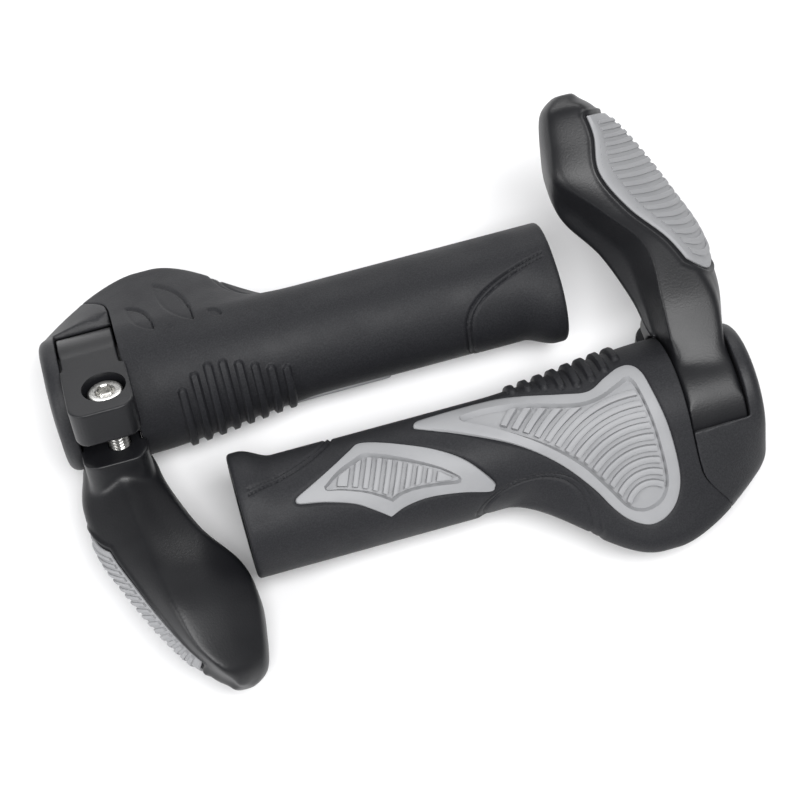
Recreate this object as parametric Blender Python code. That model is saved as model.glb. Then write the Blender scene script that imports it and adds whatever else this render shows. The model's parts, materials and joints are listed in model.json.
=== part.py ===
"""A pair of lock-on handlebar grips with palm wings and clamped bar ends.

Every piece is modelled once, for the right-hand grip, in that grip's own frame: X runs
outboard along the handlebar from the inboard end of the grip, Y points forward and Z up
when the grip is on the bicycle. Angles turn about the bar axis from +Y towards +Z. The
left-hand grip is the mirror image. The pair lies on a table: the right-hand grip palm side
up, the left-hand grip upside down beside it with its outboard end the other way.
"""
import math

import bmesh
import bpy
from mathutils import Matrix, Vector

MM = 0.001

# Handlebar, sleeve and barrel
BAR_RADIUS = 11.1 * MM            # 22.2 mm handlebar
SLEEVE_RADIUS = 12.7 * MM
BARREL_RADIUS = 15.7 * MM
SHOULDER_GROWTH = 3.8 * MM        # the barrel thickens towards the clamp
SHOULDER_START = 70.0 * MM
SHOULDER_END = 120.0 * MM
CAP_TAPER = 0.8 * MM
GAP = 0.3 * MM                    # between pieces that touch on the real grip

# Lengths along the bar
SEAM_X = 122.3 * MM               # rubber ends, clamp window starts
WINDOW_END_X = 139.0 * MM         # clamp window ends, cap flange starts
SLEEVE_START_X = 1.6 * MM
SLEEVE_END_X = 140.6 * MM
CAP_END_X = 143.8 * MM
SIDE_GAP = 0.5 * MM               # ring to window, each side
CAP_BORE_RADIUS = 10.6 * MM
PLUG_SEAT_RADIUS = 13.1 * MM
PLUG_RADIUS = 12.8 * MM
PLUG_STEM_RADIUS = 10.3 * MM

# Thumb-side lip at the inboard end
LIP_HEIGHT = 3.5 * MM
LIP_ANGLE = math.radians(30)
LIP_FLAT_X = 3.0 * MM
LIP_RUN = 9.0 * MM

# Palm wing
WING_ANGLE = math.radians(195)
WING_REACH = 38.2 * MM
WING_EDGE_RADIUS = 5.5 * MM
WING_START_X = 69.0 * MM
WING_FULL_X = 108.5 * MM
WING_TURN_X = 113.0 * MM
WING_FALL = 0.0719 * MM
WING_FALL_POWER = 1.6
SEAM_KINK = 23.5 * MM             # from here the seam runs diagonally outboard
SEAM_SLOPE = 0.92

# Grey inserts and the horn pad, seen square to their middle
FACE_ANGLE = math.radians(113)
INSERT_DEPTH = 1.2 * MM
INSERT_PROUD = 0.4 * MM
PAD_DEPTH = 1.6 * MM
PAD_PROUD = 0.6 * MM

# Clamp ring, ears and bolt
RING_RADIUS = 17.6 * MM
WINDOW_RADIUS = 18.1 * MM
WINDOW_TOP_ANGLE = math.radians(141)
WINDOW_BOTTOM_ANGLE = math.radians(228)
EAR_BOTTOM_Z = -17.3 * MM
EAR_TOP_Z = -6.8 * MM
EAR_INBOARD_X = 121.3 * MM
EAR_OUTBOARD_X = 139.3 * MM
EAR_FRONT_Y = 30.0 * MM
EAR_CORNER = 5.0 * MM
LEDGE_Z = 2.5 * MM
BOLT_X = 128.5 * MM
BOLT_Y = 19.6 * MM
LUG_FRONT_Y = 28.0 * MM
LUG_TOP_Z = 13.0 * MM
BOLT_RADIUS = 3.0 * MM            # M6
BOLT_LENGTH = 25.0 * MM
HEAD_RADIUS = 5.0 * MM
HEAD_HEIGHT = 5.5 * MM
HEAD_RECESS = 1.5 * MM
SOCKET_FLATS = 5.0 * MM
SOCKET_DEPTH = 3.0 * MM
WASHER_RADIUS = 5.6 * MM
WASHER_THICKNESS = 1.0 * MM
COUNTERBORE_RADIUS = 6.1 * MM
NUT_FLATS = 10.0 * MM
NUT_THICKNESS = 5.0 * MM
NUT_Z = 9.5 * MM

# Bar-end horn: it leaves the ring at this angle
HORN_ANGLE = math.radians(34)

# Horn sections, in millimetres. reach: distance from the bar axis; tilt: how far the
# section leans back at the top; inner, crease, edge, outer, keel: places along the bar;
# middle, flank, top, rim, keel_t: heights above the horn's middle plane.
HORN_SECTIONS = (
    # reach tilt inner crease edge outer keel middle flank top rim keel_t
    (15.0, -0.42, 123.4, 124.4, 136.8, 138.8, 131.5, 0.0, 6.0, 14.5, 1.0, -7.5),
    (22.0, -0.30, 120.6, 124.0, 137.0, 141.0, 131.0, 0.0, 3.5, 12.5, 2.0, -9.5),
    (31.0, -0.12, 118.7, 124.4, 137.0, 142.9, 130.5, -1.0, 3.0, 11.0, 1.0, -10.0),
    (45.0, 0.0, 113.4, 123.6, 130.5, 141.2, 129.0, -1.0, 4.0, 11.8, 0.0, -11.0),
    (57.0, 0.0, 105.3, 114.5, 121.0, 136.8, 127.0, 0.0, 6.0, 12.4, -2.0, -13.0),
    (68.0, 0.0, 102.8, 105.0, 115.6, 132.1, 125.0, 0.5, 8.0, 12.0, -3.5, -14.0),
    (78.0, 0.0, 103.7, 106.5, 116.8, 126.6, 122.5, 0.5, 7.0, 10.2, -2.5, -12.5),
    (85.5, 0.0, 105.3, 107.5, 115.8, 120.8, 118.0, 0.0, 5.5, 8.2, -1.0, -10.5),
    (88.4, 0.0, 107.5, 109.2, 113.4, 117.5, 115.4, 0.0, 3.6, 5.6, -0.5, -7.5),
    (90.2, 0.0, 110.5, 111.3, 113.2, 116.0, 114.4, 0.0, 2.2, 3.2, -0.4, -4.2),
)

# Outlines as runs between corners, (along the bar, across) in millimetres
PALM_OUTLINE = (
    ((50.6, 12.7), (54.0, 14.2), (68.7, 14.7), (78.0, 13.9), (91.0, 10.4), (98.0, 9.2),
     (103.5, 11.6), (108.0, 13.3), (111.4, 13.0), (113.4, 10.4), (114.3, 5.2), (116.2, -7.4),
     (116.4, -18.5), (114.3, -25.0), (110.4, -28.8), (105.5, -29.8), (100.6, -27.2),
     (97.0, -23.0), (92.8, -16.2), (85.7, -7.8), (75.0, 0.6), (61.8, 7.4), (50.6, 12.7)),
)
HEEL_OUTLINE = (
    ((14.4, 1.2), (16.0, 2.8), (20.2, 4.8), (26.5, 7.9), (32.2, 10.9), (35.6, 12.0),
     (38.5, 11.4), (45.5, 8.9), (54.1, 5.0), (61.1, 0.1), (66.9, -7.0), (67.2, -8.8),
     (65.6, -9.7), (57.7, -7.9), (49.0, -6.9), (42.5, -7.6), (38.2, -9.2)),
    ((38.2, -9.2), (34.3, -6.4), (29.5, -3.4), (22.0, -0.9), (16.0, 0.4), (14.4, 1.2)),
)
# The pair on the table: height of each bar axis, its place, and which way is up
RIGHT_PLACE = Vector((-50.95, -20.56, 20.34)) * MM
RIGHT_UP_ANGLE = math.radians(96)
LEFT_PLACE = Vector((50.95, 26.74, 19.69)) * MM
LEFT_UP_ANGLE = math.radians(300.5)

# Where the horn pad lies on the horn's skin: round it between two corners, and along it
PAD_FIRST = 3.0
PAD_LAST = 6.1
PAD_START = 2.45
PAD_END = 6.65

ROUND_SEGMENTS = 36
HORN_AROUND = 2                   # mesh steps per corner
HORN_ALONG = 2                    # mesh steps per section
PAD_ACROSS_STEPS = 6
PAD_ALONG_STEPS = 10

COLOURS = {
    "black_rubber": ((0.018, 0.018, 0.019), 0.62, 0.0),
    "grey_rubber": ((0.36, 0.36, 0.37), 0.55, 0.0),
    "black_nylon": ((0.010, 0.010, 0.011), 0.34, 0.0),
    "cap_plastic": ((0.020, 0.020, 0.021), 0.50, 0.0),
    "sleeve_plastic": ((0.030, 0.030, 0.032), 0.45, 0.0),
    "steel": ((0.62, 0.62, 0.60), 0.25, 1.0),
    "brass": ((0.70, 0.55, 0.25), 0.35, 1.0),
}


def ease(value):
    """Smooth step from 0 to 1."""
    value = min(1.0, max(0.0, value))
    return value * value * (3.0 - 2.0 * value)


def polar(x, radius, angle):
    return Vector((x, radius * math.cos(angle), radius * math.sin(angle)))


# ---------------------------------------------------------------- outer form of the grip

def barrel_radius(x):
    growth = SHOULDER_GROWTH * ease((x - SHOULDER_START) / (SHOULDER_END - SHOULDER_START))
    taper = CAP_TAPER * ease((x - SEAM_X) / (WINDOW_END_X - SEAM_X))
    return BARREL_RADIUS + growth - taper


def wing_reach(x):
    rise = ease((x - WING_START_X) / (WING_FULL_X - WING_START_X))
    reach = BARREL_RADIUS + (WING_REACH - BARREL_RADIUS) * rise
    if x > WING_TURN_X:
        reach -= WING_FALL * ((x - WING_TURN_X) / MM) ** WING_FALL_POWER
    return reach


def lip_height(x, angle):
    facing = max(0.0, math.cos(angle - LIP_ANGLE))
    return LIP_HEIGHT * facing ** 1.5 * (1.0 - ease((x - LIP_FLAT_X) / LIP_RUN))


def hull_radius(angle, barrel, reach):
    """Radius of the band stretched round the barrel and the wing's round edge."""
    centre = reach - WING_EDGE_RADIUS
    spread = barrel - WING_EDGE_RADIUS
    if centre <= spread:
        return barrel
    turn = abs(math.remainder(angle - WING_ANGLE, math.tau))
    tangent = math.acos(spread / centre)
    if turn >= tangent:
        return barrel
    side = math.sqrt(centre * centre - spread * spread)
    on_line = barrel / math.cos(tangent - turn)
    if barrel * math.tan(tangent - turn) <= side:
        return on_line
    across = centre * math.sin(turn)
    return centre * math.cos(turn) + math.sqrt(WING_EDGE_RADIUS ** 2 - across ** 2)


def form_radius(x, angle):
    return hull_radius(angle, barrel_radius(x), wing_reach(x)) + lip_height(x, angle)


def form_angles():
    """Angles round the grip, closer together round the wing's edge."""
    wing = [WING_ANGLE + math.radians(step) for step in range(-28, 29, 7)]
    rest = [WING_ANGLE + math.radians(28 + step) for step in range(12, 300, 12)]
    return wing + rest


def form_rings(stations, offset=0.0):
    return [[polar(x, form_radius(x, angle) - inset + offset, angle)
             for angle in form_angles()] for x, inset in stations]


# ---------------------------------------------------------------- mesh helpers

def collection(name):
    made = bpy.data.collections.new(name)
    bpy.context.scene.collection.children.link(made)
    return made


def work_object(bm, split=False):
    """A mesh object; split cuts faces that aren't flat into triangles."""
    if split:
        bmesh.ops.triangulate(bm, faces=bm.faces)
    bmesh.ops.recalc_face_normals(bm, faces=bm.faces)
    mesh = bpy.data.meshes.new("work")
    bm.to_mesh(mesh)
    bm.free()
    made = bpy.data.objects.new("work", mesh)
    bpy.context.scene.collection.objects.link(made)
    return made


def loft(rings, split=False):
    """A closed solid through rings that all have the same number of points."""
    bm = bmesh.new()
    loops = [[bm.verts.new(point) for point in ring] for ring in rings]
    for near, far in zip(loops, loops[1:]):
        for index in range(len(near)):
            after = (index + 1) % len(near)
            bm.faces.new((near[index], near[after], far[after], far[index]))
    bm.faces.new(loops[0])
    bm.faces.new(loops[-1])
    return work_object(bm, split)


def cylinder(start, end, radius, segments=ROUND_SEGMENTS, end_radius=None):
    axis = end - start
    turn = Vector((0, 0, 1)).rotation_difference(axis).to_matrix().to_4x4()
    place = Matrix.Translation((start + end) / 2) @ turn
    bm = bmesh.new()
    bmesh.ops.create_cone(bm, cap_ends=True, segments=segments, radius1=radius,
                          radius2=radius if end_radius is None else end_radius,
                          depth=axis.length, matrix=place)
    return work_object(bm)


def bar_cylinder(radius, start, end, segments=ROUND_SEGMENTS):
    return cylinder(Vector((start, 0, 0)), Vector((end, 0, 0)), radius, segments)


def bolt_cylinder(radius, start, end, segments=32, end_radius=None):
    low = Vector((BOLT_X, BOLT_Y, start))
    high = Vector((BOLT_X, BOLT_Y, end))
    return cylinder(low, high, radius, segments, end_radius)


def block(low, high):
    bm = bmesh.new()
    size = Vector(high) - Vector(low)
    middle = (Vector(high) + Vector(low)) / 2
    bmesh.ops.create_cube(bm, size=1.0, matrix=Matrix.Translation(middle)
                          @ Matrix.Diagonal((*size, 1.0)))
    return work_object(bm)


def prism(points, depth):
    """A solid that fills a flat polygon and everything over it for a depth vector."""
    bm = bmesh.new()
    face = bm.faces.new([bm.verts.new(point) for point in points])
    grown = bmesh.ops.extrude_face_region(bm, geom=[face])
    top = [item for item in grown["geom"] if isinstance(item, bmesh.types.BMVert)]
    bmesh.ops.translate(bm, verts=top, vec=depth)
    return work_object(bm)


def combine(target, other, operation):
    """Boolean of two work objects; the second one is used up."""
    step = target.modifiers.new(operation.lower(), "BOOLEAN")
    step.operation = operation
    step.solver = "EXACT"
    step.object = other
    bake(target)
    bpy.data.objects.remove(other)
    return target


def bake(target):
    depsgraph = bpy.context.evaluated_depsgraph_get()
    mesh = bpy.data.meshes.new_from_object(target.evaluated_get(depsgraph))
    target.modifiers.clear()
    target.data = mesh
    bm = bmesh.new()
    bm.from_mesh(mesh)
    bmesh.ops.remove_doubles(bm, verts=bm.verts, dist=0.00001)
    bmesh.ops.dissolve_degenerate(bm, edges=bm.edges, dist=0.00001)
    bm.to_mesh(mesh)
    bm.free()


def cut(target, *others):
    for other in others:
        combine(target, other, "DIFFERENCE")
    return target


def join(target, *others):
    for other in others:
        combine(target, other, "UNION")
    return target


def keep(target, other):
    return combine(target, other, "INTERSECT")


def catmull(before, start, end, after, step):
    """Point between start and end of a curve that passes through all four."""
    return ((2 * start + (end - before) * step
             + (2 * before - 5 * start + 4 * end - after) * step ** 2
             + (3 * start - before - 3 * end + after) * step ** 3) / 2)


def open_curve(points, steps):
    ends = [2 * points[0] - points[1], *points, 2 * points[-1] - points[-2]]
    curve = []
    for index in range(len(points) - 1):
        curve += [catmull(*ends[index:index + 4], step / steps) for step in range(steps)]
    return curve + [points[-1]]


def outline_points(runs, steps=2):
    """The closed polygon that a list of runs between corners describes, in metres."""
    polygon = []
    for run in runs:
        curve = open_curve([Vector((x, across)) * MM for x, across in run], steps)
        polygon += curve[:-1]
    return polygon


def grown_outline(polygon, amount):
    """The polygon moved outwards by an amount; shrunk if the amount is negative."""
    count = len(polygon)
    area = sum(polygon[i - 1].cross(polygon[i]) for i in range(count))
    outward = math.copysign(amount, area)
    moved = []
    for index, point in enumerate(polygon):
        before = (point - polygon[index - 1]).normalized()
        after = (polygon[(index + 1) % count] - point).normalized()
        normal = Vector((before.y + after.y, -before.x - after.x)).normalized()
        stretch = max(0.5, normal.dot(Vector((before.y, -before.x))))
        moved.append(point + normal * outward / stretch)
    return moved


def face_prism(polygon, depth_from, depth_to):
    """A prism over an outline, square to the direction that the inserts face."""
    across = Vector((0, math.cos(FACE_ANGLE - math.pi / 2), math.sin(FACE_ANGLE - math.pi / 2)))
    facing = Vector((0, math.cos(FACE_ANGLE), math.sin(FACE_ANGLE)))
    base = [Vector((p.x, 0, 0)) + across * p.y + facing * depth_from for p in polygon]
    return prism(base, facing * (depth_to - depth_from))


# ---------------------------------------------------------------- grip body pieces

GRIP_STATIONS = [(x * MM, inset * MM) for x, inset in (
    (0.0, 1.2), (0.5, 0.4), (1.5, 0.0), (3.0, 0.0), (5.0, 0.0), (7.5, 0.0), (10.0, 0.0),
    (13.0, 0.0), (30.0, 0.0), (55.0, 0.0), (66.0, 0.0), (74.0, 0.0), (81.0, 0.0), (88.0, 0.0),
    (95.0, 0.0), (102.0, 0.0), (108.0, 0.0), (113.0, 0.0), (118.0, 0.0), (123.0, 0.0),
    (127.0, 0.0), (132.0, 0.0))]
CAP_STATIONS = [(x * MM, inset * MM) for x, inset in (
    (120.0, 0.0), (124.0, 0.0), (129.0, 0.0), (134.0, 0.0), (137.0, 0.0), (139.0, 0.0),
    (141.0, 0.0), (142.4, 0.7), (143.3, 1.9), (143.8, 3.6))]


def grip_form(offset=0.0):
    return loft(form_rings(GRIP_STATIONS, offset))


def seam_cutter(shift, outboard):
    """Everything outboard, or everything inboard, of the seam between rubber and cap."""
    limit = 0.2 if outboard else -0.2
    far = 0.060
    bend = SEAM_KINK
    outline = [(SEAM_X + shift, -far), (SEAM_X + shift, bend),
               (SEAM_X + shift + SEAM_SLOPE * (far - bend), far),
               (SEAM_X + limit, far), (SEAM_X + limit, -far)]
    wing = Vector((0, math.cos(WING_ANGLE), math.sin(WING_ANGLE)))
    normal = Vector((0, -wing.z, wing.y))
    base = [Vector((x, 0, 0)) + wing * reach - normal * far for x, reach in outline]
    return prism(base, normal * 2 * far)


def make_insert(runs):
    polygon = outline_points(runs)
    insert = face_prism(polygon, 0.0, 0.05)
    keep(insert, grip_form(INSERT_PROUD))
    cut(insert, grip_form(-INSERT_DEPTH))
    return insert


def insert_pocket(runs):
    polygon = grown_outline(outline_points(runs), GAP)
    pocket = face_prism(polygon, 0.0, 0.06)
    cut(pocket, grip_form(-INSERT_DEPTH - GAP))
    return pocket


def make_rubber():
    rubber = grip_form()
    cut(rubber, seam_cutter(-GAP / 2, True),
        bar_cylinder(SLEEVE_RADIUS + GAP, SLEEVE_START_X - GAP, 0.15),
        bar_cylinder(BAR_RADIUS + GAP, -0.01, 0.01),
        insert_pocket(PALM_OUTLINE), insert_pocket(HEEL_OUTLINE))
    return rubber


def make_sleeve():
    sleeve = bar_cylinder(SLEEVE_RADIUS, SLEEVE_START_X, SLEEVE_END_X)
    slot = block((0.116, 0.0, -0.001), (0.15, 0.02, 0.001))
    cut(sleeve, bar_cylinder(BAR_RADIUS, -0.01, 0.15), slot)
    return sleeve


def window_cutter():
    """The clamp's room: all round under the cap's wing, and open from the front."""
    room = bar_cylinder(WINDOW_RADIUS, 0.11, WINDOW_END_X)
    open_angle = WINDOW_TOP_ANGLE + math.tau - WINDOW_BOTTOM_ANGLE
    steps = 12
    fan = [Vector((0.11, 0, 0))]
    for step in range(steps + 1):
        angle = WINDOW_TOP_ANGLE - open_angle * step / steps
        fan.append(polar(0.11, 0.05, angle))
    return join(room, prism(fan, Vector((WINDOW_END_X - 0.11, 0, 0))))


def make_end_cap():
    cap = loft(form_rings(CAP_STATIONS))
    cut(cap, seam_cutter(GAP / 2, False), window_cutter(),
        bar_cylinder(SLEEVE_RADIUS + GAP, 0.12, SLEEVE_END_X + GAP),
        bar_cylinder(CAP_BORE_RADIUS, 0.12, 0.15),
        bar_cylinder(PLUG_SEAT_RADIUS, CAP_END_X - 1.6 * MM, 0.15))
    return cap


def make_end_plug():
    plug = bar_cylinder(PLUG_RADIUS, CAP_END_X - 1.3 * MM, CAP_END_X + 0.2 * MM)
    join(plug, bar_cylinder(PLUG_STEM_RADIUS, 134.0 * MM, CAP_END_X))
    return plug


# ---------------------------------------------------------------- bar end

def horn_frame():
    outward = Vector((0, math.cos(HORN_ANGLE), math.sin(HORN_ANGLE)))
    over = Vector((0, -math.sin(HORN_ANGLE), math.cos(HORN_ANGLE)))
    return outward, over


def horn_section(values):
    """Ten points round the horn at one reach."""
    reach, tilt, inner, crease, edge, outer, keel, middle, flank, top, rim, keel_t = values
    flat = (
        (inner, middle),
        (inner + 0.35 * (crease - inner), flank),
        (crease, top - 1.0),
        (edge, top),
        ((edge + outer) / 2 + 0.6, (top + rim) / 2 + 0.9),
        (outer, rim),
        (outer - 1.6, rim - 0.34 * (rim - keel_t)),
        (keel, keel_t),
        ((keel + inner) / 2, 0.74 * keel_t),
        (inner + 1.3, middle + 0.36 * keel_t),
    )
    outward, over = horn_frame()
    return [(Vector((x, 0, 0)) + outward * (reach + tilt * height) + over * height) * MM
            for x, height in flat]


def section_point(section, around):
    """Point of a closed smooth section; whole numbers are its corners."""
    index = math.floor(around)
    four = [section[(index + shift) % len(section)] for shift in (-1, 0, 1, 2)]
    return catmull(*four, around - index)


def skin_point(sections, around, along):
    """Point of the horn's skin; whole numbers along are the sections."""
    last = len(sections) - 1
    index = min(last - 1, max(0, math.floor(along)))
    points = [section_point(sections[min(last, max(0, index + shift))], around)
              for shift in (-1, 0, 1, 2)]
    if index == 0:
        points[0] = 2 * points[1] - points[2]
    if index == last - 1:
        points[3] = 2 * points[2] - points[1]
    return catmull(*points, along - index)


def horn_skin():
    sections = [horn_section(values) for values in HORN_SECTIONS]
    corners = len(sections[0])
    rings = [[skin_point(sections, around / HORN_AROUND, along / HORN_ALONG)
              for around in range(corners * HORN_AROUND)]
             for along in range((len(sections) - 1) * HORN_ALONG + 1)]
    return loft(rings, split=True)


def pad_grid(across_steps, along_steps):
    """Points and normals of the skin under the pad: from its edge round the outboard rim."""
    sections = [horn_section(values) for values in HORN_SECTIONS]
    points, normals = [], []
    for row in range(along_steps + 1):
        run = row / along_steps
        points.append([])
        normals.append([])
        for column in range(across_steps + 1):
            over = column / across_steps
            around = PAD_FIRST + (PAD_LAST - PAD_FIRST) * over
            start = PAD_START + 0.1 * over ** 2
            end = PAD_END - 0.25 * over ** 2
            along = start + (end - start) * run
            point = skin_point(sections, around, along)
            step = 0.01
            tangent_a = skin_point(sections, around + step, along) - point
            tangent_b = skin_point(sections, around, along + step) - point
            points[-1].append(point)
            normals[-1].append(tangent_b.cross(tangent_a).normalized())
    return points, normals


def grow_grid(points, amount):
    """Push the rim of a grid of points outwards along the surface."""
    for row in points:
        row[0] = row[0] + (row[0] - row[1]).normalized() * amount
        row[-1] = row[-1] + (row[-1] - row[-2]).normalized() * amount
    first = [a + (a - b).normalized() * amount for a, b in zip(points[0], points[1])]
    last = [a + (a - b).normalized() * amount for a, b in zip(points[-1], points[-2])]
    return [first, *points[1:-1], last]


def patch_solid(points, normals, outer, inner):
    """A plate that follows a grid of points, from an inner to an outer offset."""
    bm = bmesh.new()
    skins = []
    for offset in (outer, inner):
        skins.append([[bm.verts.new(point + normal * offset)
                       for point, normal in zip(row, normal_row)]
                      for row, normal_row in zip(points, normals)])
    rows, columns = len(points), len(points[0])
    for skin in skins:
        for row in range(rows - 1):
            for column in range(columns - 1):
                bm.faces.new((skin[row][column], skin[row][column + 1],
                              skin[row + 1][column + 1], skin[row + 1][column]))
    rim = ([(0, column) for column in range(columns)]
           + [(row, columns - 1) for row in range(1, rows)]
           + [(rows - 1, column) for column in range(columns - 2, -1, -1)]
           + [(row, 0) for row in range(rows - 2, 0, -1)])
    for (row, column), (next_row, next_column) in zip(rim, rim[1:] + rim[:1]):
        bm.faces.new((skins[0][row][column], skins[0][next_row][next_column],
                      skins[1][next_row][next_column], skins[1][row][column]))
    return work_object(bm, split=True)


def make_lug(bottom, top, front):
    """A lug of the clamp, with two rounded front corners."""
    plan = [(EAR_INBOARD_X, 0.0)]
    for middle_x, first in ((EAR_INBOARD_X + EAR_CORNER, math.pi),
                            (EAR_OUTBOARD_X - EAR_CORNER, math.pi / 2)):
        for step in range(7):
            angle = first - step * math.pi / 12
            plan.append((middle_x + EAR_CORNER * math.cos(angle),
                         front - EAR_CORNER + EAR_CORNER * math.sin(angle)))
    plan.append((EAR_OUTBOARD_X, 0.0))
    base = [Vector((x, y, bottom)) for x, y in plan]
    return prism(base, Vector((0, 0, top - bottom)))


def make_bar_end():
    ring_start = SEAM_X + SIDE_GAP
    ring_end = WINDOW_END_X - SIDE_GAP
    body = bar_cylinder(RING_RADIUS, ring_start, ring_end, 48)
    join(body,
         make_lug(EAR_BOTTOM_Z, EAR_TOP_Z, EAR_FRONT_Y),
         make_lug(LEDGE_Z - 2 * MM, LUG_TOP_Z, LUG_FRONT_Y),
         horn_skin())
    clear_grip = bar_cylinder(barrel_radius(SEAM_X) + 0.5 * MM, 0.10, SEAM_X + SIDE_GAP, 48)
    clear_cap = bar_cylinder(barrel_radius(WINDOW_END_X) + 0.5 * MM, ring_end, 0.16, 48)
    seat_z = EAR_BOTTOM_Z + HEAD_RECESS + HEAD_HEIGHT + WASHER_THICKNESS
    cut(body,
        block((0.11, 0.004, EAR_TOP_Z), (0.15, 0.05, LEDGE_Z)),
        bar_cylinder(SLEEVE_RADIUS + GAP, 0.10, 0.16),
        clear_grip, clear_cap,
        bolt_cylinder(BOLT_RADIUS + GAP, -0.03, 19.0 * MM, 24),
        bolt_cylinder(COUNTERBORE_RADIUS, -0.03, seat_z + 0.05 * MM),
        nut_prism(NUT_Z - GAP, NUT_Z + NUT_THICKNESS + GAP, GAP),
        pad_pocket())
    return body


def pad_pocket():
    points, normals = pad_grid(PAD_ACROSS_STEPS, PAD_ALONG_STEPS)
    return patch_solid(grow_grid(points, 2.0 * GAP), normals, 3.0 * MM, -PAD_DEPTH - GAP)


def make_horn_pad():
    points, normals = pad_grid(PAD_ACROSS_STEPS, PAD_ALONG_STEPS)
    return patch_solid(points, normals, PAD_PROUD, -PAD_DEPTH)


def nut_prism(start, end, grow):
    return bolt_cylinder((NUT_FLATS / 2 + grow) / math.cos(math.pi / 6), start, end, 6)


def make_thread_insert():
    return cut(nut_prism(NUT_Z, NUT_Z + NUT_THICKNESS, 0.0),
               bolt_cylinder(BOLT_RADIUS + GAP, -0.01, 0.03, 24))


def make_washer():
    top = EAR_BOTTOM_Z + HEAD_RECESS + HEAD_HEIGHT + WASHER_THICKNESS
    washer = bolt_cylinder(WASHER_RADIUS, top - WASHER_THICKNESS, top - GAP / 2)
    return cut(washer, bolt_cylinder(BOLT_RADIUS + GAP, -0.03, 0.03, 24))


def make_bolt():
    face = EAR_BOTTOM_Z + HEAD_RECESS
    under = face + HEAD_HEIGHT - GAP / 2
    chamfer = 0.6 * MM
    bolt = bolt_cylinder(HEAD_RADIUS - chamfer, face, face + chamfer, end_radius=HEAD_RADIUS)
    join(bolt, bolt_cylinder(HEAD_RADIUS, face + chamfer, under),
         bolt_cylinder(BOLT_RADIUS, face + 3.5 * MM, under + BOLT_LENGTH, 24))
    socket = bolt_cylinder(SOCKET_FLATS / 2 / math.cos(math.pi / 6), -0.03,
                           face + SOCKET_DEPTH, 6)
    return cut(bolt, socket)


# ---------------------------------------------------------------- assembly

def material(name):
    if name in bpy.data.materials:
        return bpy.data.materials[name]
    colour, roughness, metallic = COLOURS[name]
    made = bpy.data.materials.new(name)
    made.use_nodes = True
    shader = made.node_tree.nodes["Principled BSDF"]
    shader.inputs["Base Color"].default_value = (*colour, 1.0)
    shader.inputs["Roughness"].default_value = roughness
    shader.inputs["Metallic"].default_value = metallic
    return made


def grip_frame(side, place, up_angle, mirror, frames):
    """Empties that hold one grip: on the bar axis, and on the bolt axis."""
    bar = bpy.data.objects.new(side + "_bar_axis", None)
    frames.objects.link(bar)
    turn = Matrix.Rotation(math.pi / 2 - up_angle, 4, "X")
    bar.matrix_world = Matrix.Translation(place) @ turn @ Matrix.Diagonal((mirror, 1, 1, 1))
    bolt = bpy.data.objects.new(side + "_bolt_axis", None)
    frames.objects.link(bolt)
    bolt.parent = bar
    bolt.location = (BOLT_X, BOLT_Y, 0)
    return bar, bolt


PIECES = (
    ("grip_rubber", make_rubber, "black_rubber", "bar"),
    ("core_sleeve", make_sleeve, "sleeve_plastic", "bar"),
    ("end_cap", make_end_cap, "cap_plastic", "bar"),
    ("end_plug", make_end_plug, "cap_plastic", "bar"),
    ("palm_insert", lambda: make_insert(PALM_OUTLINE), "grey_rubber", "bar"),
    ("heel_insert", lambda: make_insert(HEEL_OUTLINE), "grey_rubber", "bar"),
    ("bar_end", make_bar_end, "black_nylon", "bar"),
    ("horn_pad", make_horn_pad, "grey_rubber", "bar"),
    ("thread_insert", make_thread_insert, "brass", "bar"),
    ("bolt_washer", make_washer, "steel", "bolt"),
    ("pinch_bolt", make_bolt, "steel", "bolt"),
)


def main():
    for item in list(bpy.data.objects):
        bpy.data.objects.remove(item)
    pair = collection("bar_end_grips")
    frames = collection("frames")
    holders = {
        "right": grip_frame("right", RIGHT_PLACE, RIGHT_UP_ANGLE, 1, frames),
        "left": grip_frame("left", LEFT_PLACE, LEFT_UP_ANGLE, -1, frames),
    }
    for name, make, finish, axis in PIECES:
        work = make()
        mesh = work.data
        bpy.data.objects.remove(work)
        if axis == "bolt":
            mesh.transform(Matrix.Translation((-BOLT_X, -BOLT_Y, 0)))
        mesh.name = name
        mesh.materials.append(material(finish))
        mesh.shade_smooth()
        mesh.set_sharp_from_angle(angle=math.radians(35))
        for side, (bar, bolt) in holders.items():
            piece = bpy.data.objects.new(side + "_" + name, mesh)
            pair.objects.link(piece)
            piece.parent = bolt if axis == "bolt" else bar
    bpy.context.view_layer.update()


main()
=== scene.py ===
"""Looks of the pair of bar end grips: moulded rubber, grey inserts, satin nylon and steel.

The grips are built in their own frame, in millimetres: X runs outboard along the handlebar,
Y forward and Z up as on the bicycle, and angles turn about the bar from +Y towards +Z. The
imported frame's joints say where each grip lies; the left grip is the mirror image.
"""

import json
import math

import bmesh
import bpy
import numpy as np
from mathutils import Matrix, Vector
from mathutils.geometry import delaunay_2d_cdt


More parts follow.
